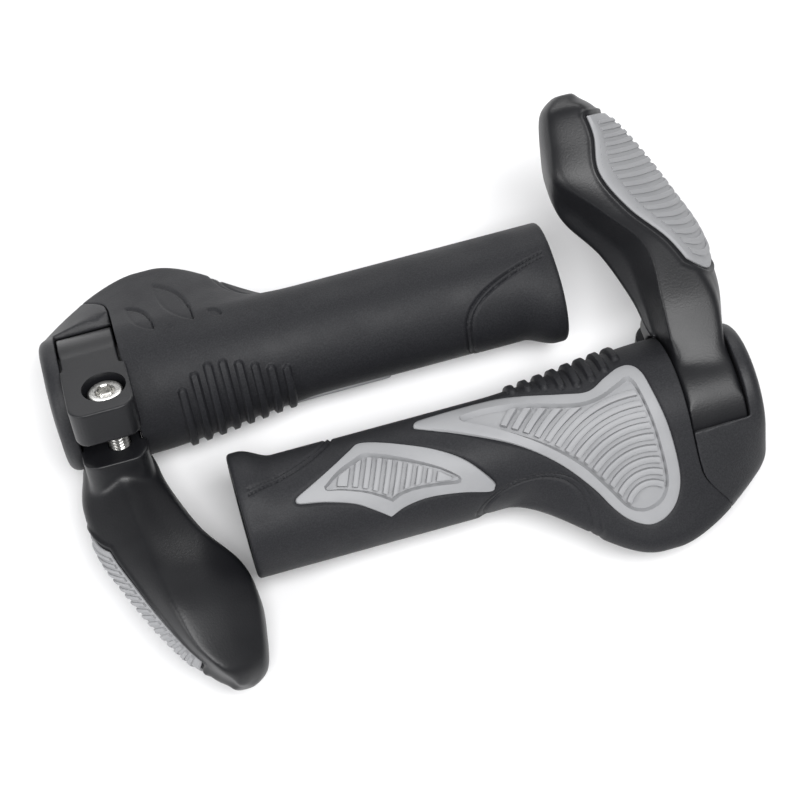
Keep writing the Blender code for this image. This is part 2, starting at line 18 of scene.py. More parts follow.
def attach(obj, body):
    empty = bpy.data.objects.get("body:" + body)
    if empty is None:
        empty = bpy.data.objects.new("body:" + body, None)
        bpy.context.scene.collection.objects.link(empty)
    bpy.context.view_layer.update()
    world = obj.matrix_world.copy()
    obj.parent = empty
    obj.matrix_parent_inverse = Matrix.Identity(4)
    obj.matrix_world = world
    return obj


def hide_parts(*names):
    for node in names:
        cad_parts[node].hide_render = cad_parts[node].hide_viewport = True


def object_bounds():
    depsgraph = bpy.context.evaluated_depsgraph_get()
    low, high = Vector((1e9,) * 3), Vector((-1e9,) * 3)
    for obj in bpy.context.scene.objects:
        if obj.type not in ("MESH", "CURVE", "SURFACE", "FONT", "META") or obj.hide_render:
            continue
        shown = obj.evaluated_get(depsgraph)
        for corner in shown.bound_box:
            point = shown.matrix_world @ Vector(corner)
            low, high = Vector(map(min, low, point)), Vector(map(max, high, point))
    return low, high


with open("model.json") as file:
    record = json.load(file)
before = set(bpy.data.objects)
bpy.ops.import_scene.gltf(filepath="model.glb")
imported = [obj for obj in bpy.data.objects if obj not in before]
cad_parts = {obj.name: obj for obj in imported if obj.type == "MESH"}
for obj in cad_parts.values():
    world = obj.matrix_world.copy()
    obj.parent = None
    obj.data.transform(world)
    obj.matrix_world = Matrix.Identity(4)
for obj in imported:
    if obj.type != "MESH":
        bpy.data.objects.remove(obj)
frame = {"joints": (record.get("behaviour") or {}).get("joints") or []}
cad_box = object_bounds()

MM = 0.001
SIDES = ("right", "left")

# ---------------- design sizes, millimetres

BAR_RADIUS = 11.1
SLEEVE_RADIUS = 12.7
BARREL_RADIUS = 15.7
SHOULDER_GROWTH, SHOULDER_START, SHOULDER_END = 3.8, 70.0, 120.0
CAP_TAPER = 0.8
SEAM_X, WINDOW_END_X, CAP_END_X = 122.3, 139.0, 143.8
SLEEVE_START_X, SLEEVE_END_X = 1.6, 140.6
SIDE_GAP = 0.5
LIP_HEIGHT, LIP_ANGLE, LIP_FLAT_X, LIP_RUN = 3.5, math.radians(30), 3.0, 9.0
WING_ANGLE, WING_REACH, WING_EDGE_RADIUS = math.radians(195), 38.2, 5.5
WING_START_X, WING_FULL_X, WING_TURN_X = 69.0, 108.5, 113.0
WING_FALL, WING_FALL_POWER = 0.0719, 1.6
SEAM_KINK, SEAM_SLOPE = 23.5, 0.92
FACE_ANGLE = math.radians(113)
RING_RADIUS, WINDOW_RADIUS = 17.6, 18.1
WINDOW_TOP_ANGLE, WINDOW_BOTTOM_ANGLE = math.radians(141), math.radians(228)
EAR_BOTTOM_Z, EAR_TOP_Z, LEDGE_Z = -17.3, -6.8, 2.5
EAR_INBOARD_X, EAR_OUTBOARD_X, EAR_FRONT_Y, EAR_CORNER = 121.3, 139.3, 30.0, 4.6
BOLT_X, BOLT_Y, BOLT_RADIUS, BOLT_LENGTH = 128.5, 19.6, 3.0, 25.0
LUG_FRONT_Y, LUG_TOP_Z = 28.0, 12.7
HEAD_HEIGHT, HEAD_RECESS = 5.5, 1.5
SOCKET_FLATS, SOCKET_DEPTH = 5.0, 3.0
WASHER_RADIUS, WASHER_THICKNESS, COUNTERBORE_RADIUS = 5.6, 1.0, 6.1
NUT_FLATS, NUT_THICKNESS, NUT_Z = 10.0, 5.0, 9.5
THREAD_PITCH, THREAD_DEPTH = 1.0, 0.55
PLUG_HOLE_RADIUS, PLUG_SEAT_RADIUS = 10.6, 13.1
HORN_ANGLE = math.radians(34)

HORN_SECTIONS = (
    # reach tilt inner crease edge outer keel middle flank top rim keel_t
    (15.0, -0.42, 123.4, 124.4, 136.8, 138.8, 131.5, 0.0, 6.0, 14.5, 1.0, -7.5),
    (22.0, -0.30, 120.6, 124.0, 137.0, 141.0, 131.0, 0.0, 3.5, 12.5, 2.0, -9.5),
    (31.0, -0.12, 118.7, 124.4, 137.0, 142.9, 130.5, -1.0, 3.0, 11.0, 1.0, -10.0),
    (45.0, 0.0, 113.4, 123.6, 130.5, 141.2, 129.0, -1.0, 4.0, 11.8, 0.0, -11.0),
    (57.0, 0.0, 105.3, 114.5, 121.0, 136.8, 127.0, 0.0, 6.0, 12.4, -2.0, -13.0),
    (68.0, 0.0, 102.8, 105.0, 115.6, 132.1, 125.0, 0.5, 8.0, 12.0, -3.5, -14.0),
    (78.0, 0.0, 103.7, 106.5, 116.8, 126.6, 122.5, 0.5, 7.0, 10.2, -2.5, -12.5),
    (85.5, 0.0, 105.3, 107.5, 115.8, 120.8, 118.0, 0.0, 5.5, 8.2, -1.0, -10.5),
    (88.4, 0.0, 107.5, 109.2, 113.4, 117.5, 115.4, 0.0, 3.6, 5.6, -0.5, -7.5),
    (90.2, 0.0, 110.5, 111.3, 113.2, 116.0, 114.4, 0.0, 2.2, 3.2, -0.4, -4.2),
)
PAD_FIRST, PAD_LAST = 3.0, 6.1
PAD_START, PAD_END = 2.45, 6.65

# Outlines on the facing plane: (along, across) points; runs of points meet at sharp corners
PALM_OUTLINE = (
    ((50.6, 12.7), (51.2, 13.4), (54.0, 13.9), (68.7, 14.1), (78.0, 13.4), (91.0, 10.4),
     (98.0, 9.2), (103.5, 11.6), (108.0, 13.3), (111.4, 13.0), (113.4, 10.4), (114.3, 5.2),
     (116.2, -7.4), (116.4, -18.5), (114.3, -25.0), (110.4, -28.8), (105.5, -29.8),
     (100.6, -27.2), (97.0, -23.0), (92.8, -16.2), (85.7, -7.8), (75.0, 0.6), (61.8, 7.4),
     (51.4, 11.9), (50.6, 12.7)),
)
PALM_PANEL = (
    ((63.2, 10.9), (63.9, 11.5), (70.0, 11.7), (79.0, 10.7), (88.0, 8.0), (95.1, 6.4),
     (100.6, 6.8), (105.3, 8.5), (108.6, 9.8), (109.8, 9.3), (110.9, 6.0), (112.6, -7.3),
     (112.8, -18.3), (110.8, -23.4), (107.3, -25.4), (103.7, -25.3), (100.4, -23.0),
     (96.5, -16.8), (90.9, -8.9), (82.0, -0.9), (72.5, 5.6), (64.2, 10.0), (63.2, 10.9)),
)
HEEL_OUTLINE = (
    ((14.4, 1.4), (15.2, 2.4), (20.2, 4.8), (26.5, 7.9), (32.2, 10.9), (34.6, 12.0),
     (38.5, 11.4), (45.5, 8.9), (54.1, 5.0), (61.1, 0.1), (66.9, -7.0), (67.2, -8.8),
     (65.6, -9.7), (57.7, -7.9), (49.0, -6.9), (42.5, -7.6), (38.2, -9.2)),
    ((38.2, -9.2), (34.3, -6.4), (29.5, -3.4), (22.0, -0.9), (15.4, 0.4), (14.4, 1.4)),
)
HEEL_PANEL = (
    ((23.0, 3.0), (27.6, 6.0), (33.0, 8.0), (35.2, 8.6), (38.0, 7.9), (44.3, 5.2),
     (52.8, 0.6), (57.6, -3.0), (58.5, -4.3), (57.6, -5.0), (52.9, -4.3), (46.8, -3.7),
     (42.5, -4.0), (39.4, -5.1)),
    ((39.4, -5.1), (36.8, -3.2), (32.9, -1.0), (27.0, 1.2), (23.4, 2.0), (23.0, 3.0)),
)
RIB_CENTRE = (107.2, -25.3)       # the palm ribs are arcs about this point

# ---------------- where each grip lies


def joint(name):
    return next(item for item in frame["joints"] if item["name"] == name)


def grip_matrix(side):
    """From the grip's own frame, in millimetres, to the row frame."""
    up = -Vector(joint(side + "_bolt_travel")["axis"])
    outboard = Vector((1.0 if side == "right" else -1.0, 0.0, 0.0))
    forward = up.cross(outboard) * outboard.x
    on_axis = Vector(joint(side + "_bar_end_angle")["pos_m"])
    origin = on_axis - outboard * BOLT_X * MM
    turn = Matrix((outboard, forward, up)).transposed().to_4x4()
    return Matrix.Translation(origin) @ turn @ Matrix.Scale(MM, 4)


MATRICES = {side: grip_matrix(side) for side in SIDES}

# ---------------- form of the grip


def ease(value):
    value = np.clip(value, 0.0, 1.0)
    return value * value * (3.0 - 2.0 * value)


def line(past, at, width):
    """Height of a fine line at a distance past an edge."""
    return np.exp(-((past - at) / width) ** 2)


def round_over(distance, width):
    """Rises from 0 at an edge to 1 at a width from it, as a quarter circle."""
    return np.sqrt(np.clip(1 - (1 - np.clip(distance / width, 0, 1)) ** 2, 0, 1))


def circle(count):
    return np.arange(count) * math.tau / count


def wrap(angle):
    """Angle in the half-open turn about zero."""
    return (angle + math.pi) % math.tau - math.pi


def barrel_radius(x):
    growth = SHOULDER_GROWTH * ease((x - SHOULDER_START) / (SHOULDER_END - SHOULDER_START))
    return BARREL_RADIUS + growth - CAP_TAPER * ease((x - SEAM_X) / (WINDOW_END_X - SEAM_X))


def wing_reach(x):
    rise = ease((x - WING_START_X) / (WING_FULL_X - WING_START_X))
    past = np.maximum(0.0, x - WING_TURN_X)
    return BARREL_RADIUS + (WING_REACH - BARREL_RADIUS) * rise - WING_FALL * past ** WING_FALL_POWER


def lip_height(x, angle):
    facing = np.maximum(0.0, np.cos(angle - LIP_ANGLE))
    return LIP_HEIGHT * facing ** 1.5 * (1.0 - ease((x - LIP_FLAT_X) / LIP_RUN))


def hull_radius(angle, barrel, reach):
    """Radius of the band stretched round the barrel and the wing's round edge."""
    centre = np.maximum(reach - WING_EDGE_RADIUS, 0.01)
    spread = barrel - WING_EDGE_RADIUS
    has_wing = centre > spread
    safe = np.where(has_wing, centre, spread * 2.0)
    turn = np.abs(wrap(angle - WING_ANGLE))
    tangent = np.arccos(np.clip(spread / safe, -1.0, 1.0))
    off = np.clip(tangent - turn, 0.0, 1.5)
    on_line = barrel / np.cos(off)
    side = np.sqrt(np.maximum(0.0, safe ** 2 - spread ** 2))
    across = safe * np.sin(turn)
    edge = safe * np.cos(turn) + np.sqrt(np.maximum(0.0, WING_EDGE_RADIUS ** 2 - across ** 2))
    wing = np.where(barrel * np.tan(off) <= side, on_line, edge)
    return np.where(has_wing & (turn < tangent), wing, barrel)


def form_radius(x, angle):
    """Radius of the whole form: barrel, wing and the lip at the inboard end."""
    return hull_radius(angle, barrel_radius(x), wing_reach(x)) + lip_height(x, angle)


def polar(x, radius, angle):
    return np.stack([x + 0.0 * angle, radius * np.cos(angle), radius * np.sin(angle)], axis=-1)


def component(radius, angle, direction):
    """How far points of a cross-section lie in a direction."""
    y, z = radius * np.cos(angle), radius * np.sin(angle)
    return y * math.cos(direction) + z * math.sin(direction)


def on_face(flat, height):
    """Points on the form under (along, across) points of the facing plane, plus a height."""
    x, across = flat[:, 0], flat[:, 1]
    low, high = np.zeros(len(flat)), np.full(len(flat), 60.0)
    for _ in range(40):
        deep = (low + high) / 2
        within = np.hypot(across, deep) < form_radius(x, FACE_ANGLE - np.arctan2(across, deep))
        low, high = np.where(within, deep, low), np.where(within, high, deep)
    angle = FACE_ANGLE - np.arctan2(across, low)
    lift = np.broadcast_to(height, len(flat))[:, None]
    return polar(x, np.hypot(across, low), angle) + form_normal(x, angle) * lift


def form_normal(x, angle):
    step_x, step_a = 0.05, 0.002
    along = (polar(x + step_x, form_radius(x + step_x, angle), angle)
             - polar(x - step_x, form_radius(x - step_x, angle), angle))
    around = (polar(x, form_radius(x, angle + step_a), angle + step_a)
              - polar(x, form_radius(x, angle - step_a), angle - step_a))
    normal = np.cross(around, along)
    return normal / np.linalg.norm(normal, axis=-1, keepdims=True)


# ---------------- curves and outlines


def catmull(before, start, end, after, step):
    """Point between start and end of a curve that passes through all four."""
    return ((2 * start + (end - before) * step
             + (2 * before - 5 * start + 4 * end - after) * step ** 2
             + (3 * start - before - 3 * end + after) * step ** 3) / 2)


def hermite(start, leave, end, arrive, step):
    """Point of the cubic between two points with given directions there."""
    turn = end - start
    return start + step * (leave + step * (3 * turn - 2 * leave - arrive
                                           + step * (leave + arrive - 2 * turn)))


def open_curve(points, steps):
    ends = [2 * points[0] - points[1], *points, 2 * points[-1] - points[-2]]
    curve = []
    for index in range(len(points) - 1):
        curve += [catmull(*ends[index:index + 4], step / steps) for step in range(steps)]
    return curve + [points[-1]]


def outline(runs, spacing):
    """The closed polygon that a list of runs between corners describes, evenly spaced."""
    fine = []
    for run in runs:
        fine += open_curve([np.array(point, float) for point in run], 12)[:-1]
    return resample(np.array(fine), spacing)


def lengths_along(curve):
    return np.concatenate([[0.0], np.cumsum(np.linalg.norm(np.diff(curve, axis=0), axis=1))])


def points_at(curve, wanted):
    """The points of a flat curve at the wanted distances along it."""
    lengths = lengths_along(curve)
    return np.stack([np.interp(wanted, lengths, curve[:, i]) for i in (0, 1)], axis=1)


def resample(loop, spacing):
    closed = np.vstack([loop, loop[:1]])
    length = lengths_along(closed)[-1]
    count = max(8, int(round(length / spacing)))
    return points_at(closed, np.linspace(0.0, length, count, endpoint=False))


def signed_area(loop):
    after = np.roll(loop, -1, axis=0)
    return 0.5 * np.sum(loop[:, 0] * after[:, 1] - after[:, 0] * loop[:, 1])


def inset(loop, amount):
    """The loop moved inwards by an amount, or outwards if it is negative."""
    before = loop - np.roll(loop, 1, axis=0)
    after = np.roll(loop, -1, axis=0) - loop
    before /= np.linalg.norm(before, axis=1, keepdims=True)
    after /= np.linalg.norm(after, axis=1, keepdims=True)
    tangent = before + after
    tangent /= np.maximum(np.linalg.norm(tangent, axis=1, keepdims=True), 1e-9)
    inward = np.stack([-tangent[:, 1], tangent[:, 0]], axis=1) * np.sign(signed_area(loop))
    stretch = np.clip(np.sum(tangent * after, axis=1), 0.6, 1.0)
    return loop + inward * (amount / stretch)[:, None]


def inside(loop, points):
    """Which points are inside a closed loop."""
    x, y = points[:, 0][:, None], points[:, 1][:, None]
    x0, y0 = loop[:, 0][None], loop[:, 1][None]
    x1, y1 = np.roll(loop[:, 0], -1)[None], np.roll(loop[:, 1], -1)[None]
    crosses = (y0 > y) != (y1 > y)
    at = x0 + (y - y0) * (x1 - x0) / np.where(y1 == y0, 1e-12, y1 - y0)
    return (np.sum(crosses & (x < at), axis=1) % 2) == 1


def distance_to(loop, points):
    """Distance from each point to a closed loop."""
    best = np.full(len(points), 1e9)
    ends = np.roll(loop, -1, axis=0)
    for start, end in zip(loop, ends):
        run = end - start
        share = np.clip((points - start) @ run / max(run @ run, 1e-12), 0.0, 1.0)
        best = np.minimum(best, np.linalg.norm(points - start - share[:, None] * run, axis=1))
    return best


# ---------------- meshes


def new_object(name, data):
    made = bpy.data.objects.new(name, data)
    bpy.context.scene.collection.objects.link(made)
    return made


def edit_faces(item, operation):
    """Run one bmesh operation over all of an object's faces."""
    bm = bmesh.new()
    bm.from_mesh(item.data)
    operation(bm, faces=bm.faces)
    bm.to_mesh(item.data)
    bm.free()
    return item


def raw_object(points, faces):
    """An object in the grip's own frame, in millimetres, with its faces pointing out."""
    mesh = bpy.data.meshes.new("work")
    mesh.from_pydata([tuple(point) for point in points], [], [tuple(face) for face in faces])
    return edit_faces(new_object("work", mesh), bmesh.ops.recalc_face_normals)


def grid_faces(rows, columns, closed=False, start=0):
    """Quads between the points of a grid; closed joins the last column to the first."""
    faces = []
    for row in range(rows - 1):
        for column in range(columns if closed else columns - 1):
            after = (column + 1) % columns
            a = start + row * columns
            faces.append((a + column, a + after, a + columns + after, a + columns + column))
    return faces


def tube_solid(rings):
    """A closed solid through rings of equal length."""
    return raw_object(np.concatenate(rings), strip_faces(len(rings), len(rings[0]), 0))


def strip_faces(rows, columns, start):
    """Faces of a closed bar whose cross-section is a ring of columns points."""
    faces = grid_faces(rows, columns, closed=True, start=start)
    faces.append(tuple(start + i for i in range(columns)))
    faces.append(tuple(start + (rows - 1) * columns + i for i in range(columns)))
    return faces


def hollow_solid(rings):
    """A solid through rings of equal length, the last of which joins the first."""
    columns = len(rings[0])
    faces = grid_faces(len(rings), columns, closed=True)
    last = (len(rings) - 1) * columns
    faces += [(last + i, last + (i + 1) % columns, (i + 1) % columns, i) for i in range(columns)]
    return raw_object(np.concatenate(rings), faces)


def ring_about(axis, centre, angles, radius, along):
    """A ring of points about an axis along X or Z."""
    a, b = centre[0] + radius * np.cos(angles), centre[1] + radius * np.sin(angles)
    full = np.full(len(angles), along)
    return np.stack([full, a, b] if axis == "X" else [a, b, full], axis=1)


def turned(profile, segments, centre=(0.0, 0.0), axis="X"):
    """A ring turned from a closed profile of (along, radius)."""
    return hollow_solid([ring_about(axis, centre, circle(segments), radius, along)
                         for along, radius in profile])


def cylinder(axis, centre, radius, start, end, segments):
    return tube_solid([ring_about(axis, centre, circle(segments), radius, along)
                       for along in (start, end)])


def bar_cylinder(radius, start, end, segments):
    return cylinder("X", (0, 0), radius, start, end, segments)


def bolt_cylinder(radius, start, end, segments):
    return cylinder("Z", (BOLT_X, BOLT_Y), radius, start, end, segments)


def bolt_ring(angles, radius, height):
    return ring_about("Z", (BOLT_X, BOLT_Y), angles, radius, height)


def block(low, high):
    bm = bmesh.new()
    size = Vector(high) - Vector(low)
    middle = (Vector(high) + Vector(low)) / 2
    bmesh.ops.create_cube(bm, size=1.0, matrix=Matrix.Translation(middle)
                          @ Matrix.Diagonal((*size, 1.0)))
    mesh = bpy.data.meshes.new("work")
    bm.to_mesh(mesh)
    bm.free()
    return new_object("work", mesh)


def apply_modifiers(item):
    depsgraph = bpy.context.evaluated_depsgraph_get()
    mesh = bpy.data.meshes.new_from_object(item.evaluated_get(depsgraph))
    item.modifiers.clear()
    old = item.data
    item.data = mesh
    bpy.data.meshes.remove(old)
    return item


def combine(target, other, operation):
    step = target.modifiers.new(operation.lower(), "BOOLEAN")
    step.operation = operation
    step.solver = "EXACT"
    step.object = other
    apply_modifiers(target)
    bpy.data.objects.remove(other)
    return target


def cut(target, *others):
    for other in others:
        combine(target, other, "DIFFERENCE")
    return target


def join(target, *others):
    for other in others:
        combine(target, other, "UNION")
    return target


def remesh(item, voxel, keep_share=1.0):
    """Voxel skin with moulded edges, thinned where it is flat."""
    step = item.modifiers.new("remesh", "REMESH")
    step.mode = "VOXEL"
    step.voxel_size = voxel
    apply_modifiers(item)
    if keep_share < 1.0:
        thin = item.modifiers.new("thin", "DECIMATE")
        thin.ratio = keep_share
        apply_modifiers(item)
    return item


def relax(item, weights, rounds):
    """Smooth each point towards its neighbours by its weight."""
    mesh = item.data
    count = len(mesh.vertices)
    points = np.empty(count * 3)
    mesh.vertices.foreach_get("co", points)
    points = points.reshape(-1, 3)
    edges = np.empty(len(mesh.edges) * 2, np.int64)
    mesh.edges.foreach_get("vertices", edges)
    edges = edges.reshape(-1, 2)
    weight = weights(points)[:, None]
    degree = np.bincount(edges.ravel(), minlength=count)[:, None]
    for _ in range(rounds):
        total = np.zeros_like(points)
        np.add.at(total, edges[:, 0], points[edges[:, 1]])
        np.add.at(total, edges[:, 1], points[edges[:, 0]])
        points = points + weight * (total / np.maximum(degree, 1) - points)
    mesh.vertices.foreach_set("co", points.ravel())
    mesh.update()
    return item


def place(work, side, name, node, body, slot, material, angle):
    """Copy a work object on to one grip: it rides its body and replaces its CAD node."""
    mesh = work.data.copy()
    mesh.transform(MATRICES[side])
    if MATRICES[side].determinant() < 0:
        mesh.flip_normals()
    mesh.materials.clear()
    mesh.materials.append(material)
    mesh.shade_smooth()
    mesh.set_sharp_from_angle(angle=math.radians(angle))
    piece = new_object(side + "_" + name, mesh)
    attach(piece, "grips" if body == "grips" else side + "_" + body)
    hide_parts(side + "_" + node)


def finish_piece(work, *details):
    """Place a work object on both grips."""
    for side in SIDES:
        place(work, side, *details)
    bpy.data.objects.remove(work)


# ---------------- materials


def shader_material(name, colour, roughness, metallic=0.0, specular=0.5):
    made = bpy.data.materials.new(name)
    made.use_nodes = True
    shader = made.node_tree.nodes["Principled BSDF"]
    shader.inputs["Base Color"].default_value = (*colour, 1.0)
    shader.inputs["Roughness"].default_value = roughness
    shader.inputs["Metallic"].default_value = metallic
    shader.inputs["Specular IOR Level"].default_value = specular
    return made, made.node_tree, shader


def node(tree, kind, **values):
    made = tree.nodes.new(kind)
    for key, value in values.items():
        if key in made.inputs:
            made.inputs[key].default_value = value
        else:
            setattr(made, key, value)
    return made


def object_noise(tree, scale, detail, roughness=0.5):
    """Noise on the object's own coordinates; scale is per metre."""
    place = node(tree, "ShaderNodeTexCoord")
    noise = node(tree, "ShaderNodeTexNoise", Scale=scale, Detail=detail, Roughness=roughness)
    tree.links.new(place.outputs["Object"], noise.inputs["Vector"])
    return noise.outputs["Fac"]


def vary_colour(tree, shader, source, low, high):
    """Colour the surface between two stops of (place in the noise, colour)."""
    made = node(tree, "ShaderNodeValToRGB")
    for element, (at, colour) in zip(made.color_ramp.elements, (low, high)):
        element.position = at
        element.color = (*colour, 1.0)
    tree.links.new(source, made.inputs["Fac"])
    tree.links.new(made.outputs["Color"], shader.inputs["Base Color"])


def vary_roughness(tree, shader, source, low, high):
    """Spread the middle range of a noise over low to high roughness."""
    made = node(tree, "ShaderNodeMapRange")
    for name, value in (("From Min", 0.3), ("From Max", 0.7), ("To Min", low), ("To Max", high)):
        made.inputs[name].default_value = value
    tree.links.new(source, made.inputs["Value"])
    tree.links.new(made.outputs["Result"], shader.inputs["Roughness"])


def bump(tree, shader, layers):
    """Chain of bumps; each layer is (height, strength, distance in metres)."""
    normal = None
    for height, strength, distance in layers:
        made = node(tree, "ShaderNodeBump", Strength=strength, Distance=distance)
        tree.links.new(height, made.inputs["Height"])
        if normal is not None:
            tree.links.new(normal, made.inputs["Normal"])
        normal = made.outputs["Normal"]
    tree.links.new(normal, shader.inputs["Normal"])


def black_rubber():
    made, tree, shader = shader_material("black_rubber", (0.008, 0.0082, 0.009), 0.6, specular=0.26)
    fine = object_noise(tree, 2600.0, 1.5, 0.6)
    grain = object_noise(tree, 1100.0, 2.0, 0.6)
    cloud = object_noise(tree, 60.0, 3.0, 0.55)
    vary_colour(tree, shader, fine, (0.35, (0.011, 0.0113, 0.0135)), (0.75, (0.021, 0.0215, 0.0245)))
    vary_roughness(tree, shader, cloud, 0.52, 0.66)
    bump(tree, shader, ((grain, 0.55, 0.00010), (fine, 0.8, 0.00006)))
    return made


def grey_rubber():
    made, tree, shader = shader_material("grey_rubber", (0.40, 0.405, 0.41), 0.55, specular=0.4)
    fine = object_noise(tree, 2400.0, 1.5, 0.5)
    cloud = object_noise(tree, 90.0, 3.0, 0.55)
    vary_colour(tree, shader, cloud, (0.3, (0.262, 0.265, 0.275)), (0.7, (0.29, 0.293, 0.303)))
    vary_roughness(tree, shader, cloud, 0.5, 0.6)
    bump(tree, shader, ((fine, 0.35, 0.00004),))
    return made


def black_nylon():
    made, tree, shader = shader_material("black_nylon", (0.012, 0.0122, 0.013), 0.36, specular=0.38)
    fine = object_noise(tree, 1900.0, 2.0, 0.65)
    grain = object_noise(tree, 1400.0, 1.0, 0.5)
    cloud = object_noise(tree, 50.0, 2.0, 0.5)
    vary_colour(tree, shader, cloud, (0.3, (0.006, 0.0062, 0.0076)), (0.7, (0.010, 0.0103, 0.012)))
    vary_roughness(tree, shader, cloud, 0.36, 0.46)
    bump(tree, shader, ((grain, 0.3, 0.00007), (fine, 0.6, 0.00006)))
    return made


def cap_plastic():
    made, tree, shader = shader_material("cap_plastic", (0.024, 0.0245, 0.026), 0.5, specular=0.33)
    fine = object_noise(tree, 2100.0, 2.0, 0.65)
    cloud = object_noise(tree, 60.0, 2.0, 0.5)
    vary_colour(tree, shader, fine, (0.35, (0.013, 0.0134, 0.0155)), (0.75, (0.024, 0.0245, 0.0275)))
    vary_roughness(tree, shader, cloud, 0.45, 0.56)
    bump(tree, shader, ((fine, 0.8, 0.00007),))
    return made


def sleeve_plastic():
    made, tree, shader = shader_material("sleeve_plastic", (0.030, 0.030, 0.032), 0.45)
    cloud = object_noise(tree, 400.0, 2.0, 0.5)
    vary_roughness(tree, shader, cloud, 0.38, 0.5)
    bump(tree, shader, ((cloud, 0.3, 0.00005),))
    return made


def steel():
    made, tree, shader = shader_material("steel", (0.55, 0.545, 0.53), 0.3, metallic=1.0)
    fine = object_noise(tree, 1600.0, 3.0, 0.6)
    vary_roughness(tree, shader, fine, 0.24, 0.36)
    bump(tree, shader, ((fine, 0.1, 0.00002),))
    return made


def brass():
    made, tree, shader = shader_material("brass", (0.72, 0.55, 0.26), 0.32, metallic=1.0)
    fine = object_noise(tree, 1200.0, 3.0, 0.6)
    vary_roughness(tree, shader, fine, 0.26, 0.42)
    bump(tree, shader, ((fine, 0.25, 0.00003),))
    return made


RUBBER = black_rubber()
GREY = grey_rubber()
NYLON = black_nylon()
CAP = cap_plastic()
SLEEVE = sleeve_plastic()
STEEL = steel()
BRASS = brass()

# ---------------- rubber body

FINGER_RIB_X = [79.5 + 4.16 * i for i in range(8)]
FINGER_RIB_TOP = [52, 56, 63, 70, 74, 73, 68, 58]
FINGER_RIB_BOTTOM = [-18, -23, -29, -35, -39, -40, -35, -25]
FINGER_RIB_WIDTH, FINGER_RIB_HEIGHT = 2.1, 1.2

UNDERSIDE_FACING = math.radians(320.8)
LEAVES = (
    # along, across, half length, half width, lean, depth
    (104.6, -19.9, 7.9, 2.9, math.radians(-122), 0.75),
    (114.6, -17.4, 5.1, 2.1, math.radians(-127), 0.7),
    (94.4, -13.7, 2.1, 0.9, math.radians(-147), 0.6),
    (107.0, -13.0, 0.7, 0.6, 0.0, 0.3),
)


def finger_ribs(x, angle, radius):
    """Round-ended ribs across the finger side of the barrel."""
    height = np.zeros_like(radius)
    for at, top, bottom in zip(FINGER_RIB_X, FINGER_RIB_TOP, FINGER_RIB_BOTTOM):
        middle, half = math.radians((top + bottom) / 2), math.radians((top - bottom) / 2)
        past = np.maximum(0.0, (np.abs(wrap(angle - middle)) - half) * radius + 1.0)
        away = np.hypot(x - at, past)
        height = np.maximum(height, FINGER_RIB_HEIGHT
                            * ease((FINGER_RIB_WIDTH / 2 - away) / 0.55 + 0.5))
    return height


THUMB_X, THUMB_POWER = 28.5, 3.4
THUMB_ANGLE, THUMB_HALF_ANGLE, THUMB_HALF_WIDTH = math.radians(14), math.radians(79), 21.6


def thumb_line(x, angle):
    """A fine double line that curves round the thumb side of the inboard end."""
    turn = wrap(angle - THUMB_ANGLE) / THUMB_HALF_ANGLE
    border = THUMB_X * (1.0 - np.abs(turn) ** THUMB_POWER)
    slope = THUMB_X * THUMB_POWER * np.abs(turn) ** (THUMB_POWER - 1) / THUMB_HALF_WIDTH
    past = (border - x) / np.sqrt(1.0 + slope ** 2)
    on = (np.abs(turn) < 1.0) & (x > 3.0)
    step = 0.22 * ease(past / 0.6)
    lines = 0.6 * line(past, -0.1, 0.32) + 0.48 * line(past, 1.3, 0.3)
    return (step * ease((x - 3.0) / 6.0) - lines) * on


SCALLOP_X, SCALLOP_HALF_LENGTH, SCALLOP_ANGLE = 77.3, 15.2, math.radians(186)
SCALLOP_BEYOND, SCALLOP_BEFORE = math.radians(47), math.radians(38)
SCALLOP_MEAN_RADIUS = 15.0


def scallop(x, angle):
    """A hollow with a fine double line round it, where the wing grows out of the barrel."""
    across = (x - SCALLOP_X) / SCALLOP_HALF_LENGTH
    turn = wrap(angle - SCALLOP_ANGLE)
    turn = turn / np.where(turn > 0, SCALLOP_BEYOND, SCALLOP_BEFORE)
    level = np.sqrt(across ** 2 + turn ** 2)
    past = (1.0 - level) * SCALLOP_MEAN_RADIUS
    lines = 0.8 * line(past, -0.5, 0.42) + 0.6 * line(past, 1.4, 0.38)
    return -0.55 * ease(past / 0.9 + 0.5) - lines


def leaf_relief(x, radius, angle):
    """Shallow leaf shapes pressed into the wing's underside."""
    across = component(radius, angle, UNDERSIDE_FACING + math.pi / 2)
    faces = np.abs(wrap(angle - math.radians(265))) < math.radians(62)
    total = np.zeros_like(radius)
    for at, off, half_length, half_width, lean, depth in LEAVES:
        dx, dp = x - at, across - off
        along = dx * math.cos(lean) - dp * math.sin(lean)
        side = dx * math.sin(lean) + dp * math.cos(lean)
        room = half_width * (1.0 - np.clip(np.abs(along) / half_length, 0, 1) ** 2)
        past = room - np.abs(side)
        edge = line(past, 0.1, 0.32) * np.where(side > 0, 1.0, 0.45)
        total -= depth * (edge + 0.35 * ease(past / 0.5)) * (np.abs(along) < half_length)
    return total * faces


GROOVE_DEPTH, BED_DEPTH = 0.3, 1.4


def insert_bed(x, radius, angle, loop):
    """The bed in the rubber under an insert, with a fine groove round it."""
    across = component(radius, angle, FACE_ANGLE - math.pi / 2)
    faces = component(radius, angle, FACE_ANGLE) > 0
    shape = radius.shape
    flat = np.stack([np.broadcast_to(x, shape).ravel(), across.ravel()], axis=1)
    near = (faces.ravel() & (flat[:, 0] > loop[:, 0].min() - 2)
            & (flat[:, 0] < loop[:, 0].max() + 2))
    depth = np.zeros(len(flat))
    away = distance_to(loop, flat[near]) * np.where(inside(loop, flat[near]), 1.0, -1.0)
    depth[near] = GROOVE_DEPTH * line(away, -0.1, 0.45) + BED_DEPTH * ease(away / 0.7)
    return -depth.reshape(shape)


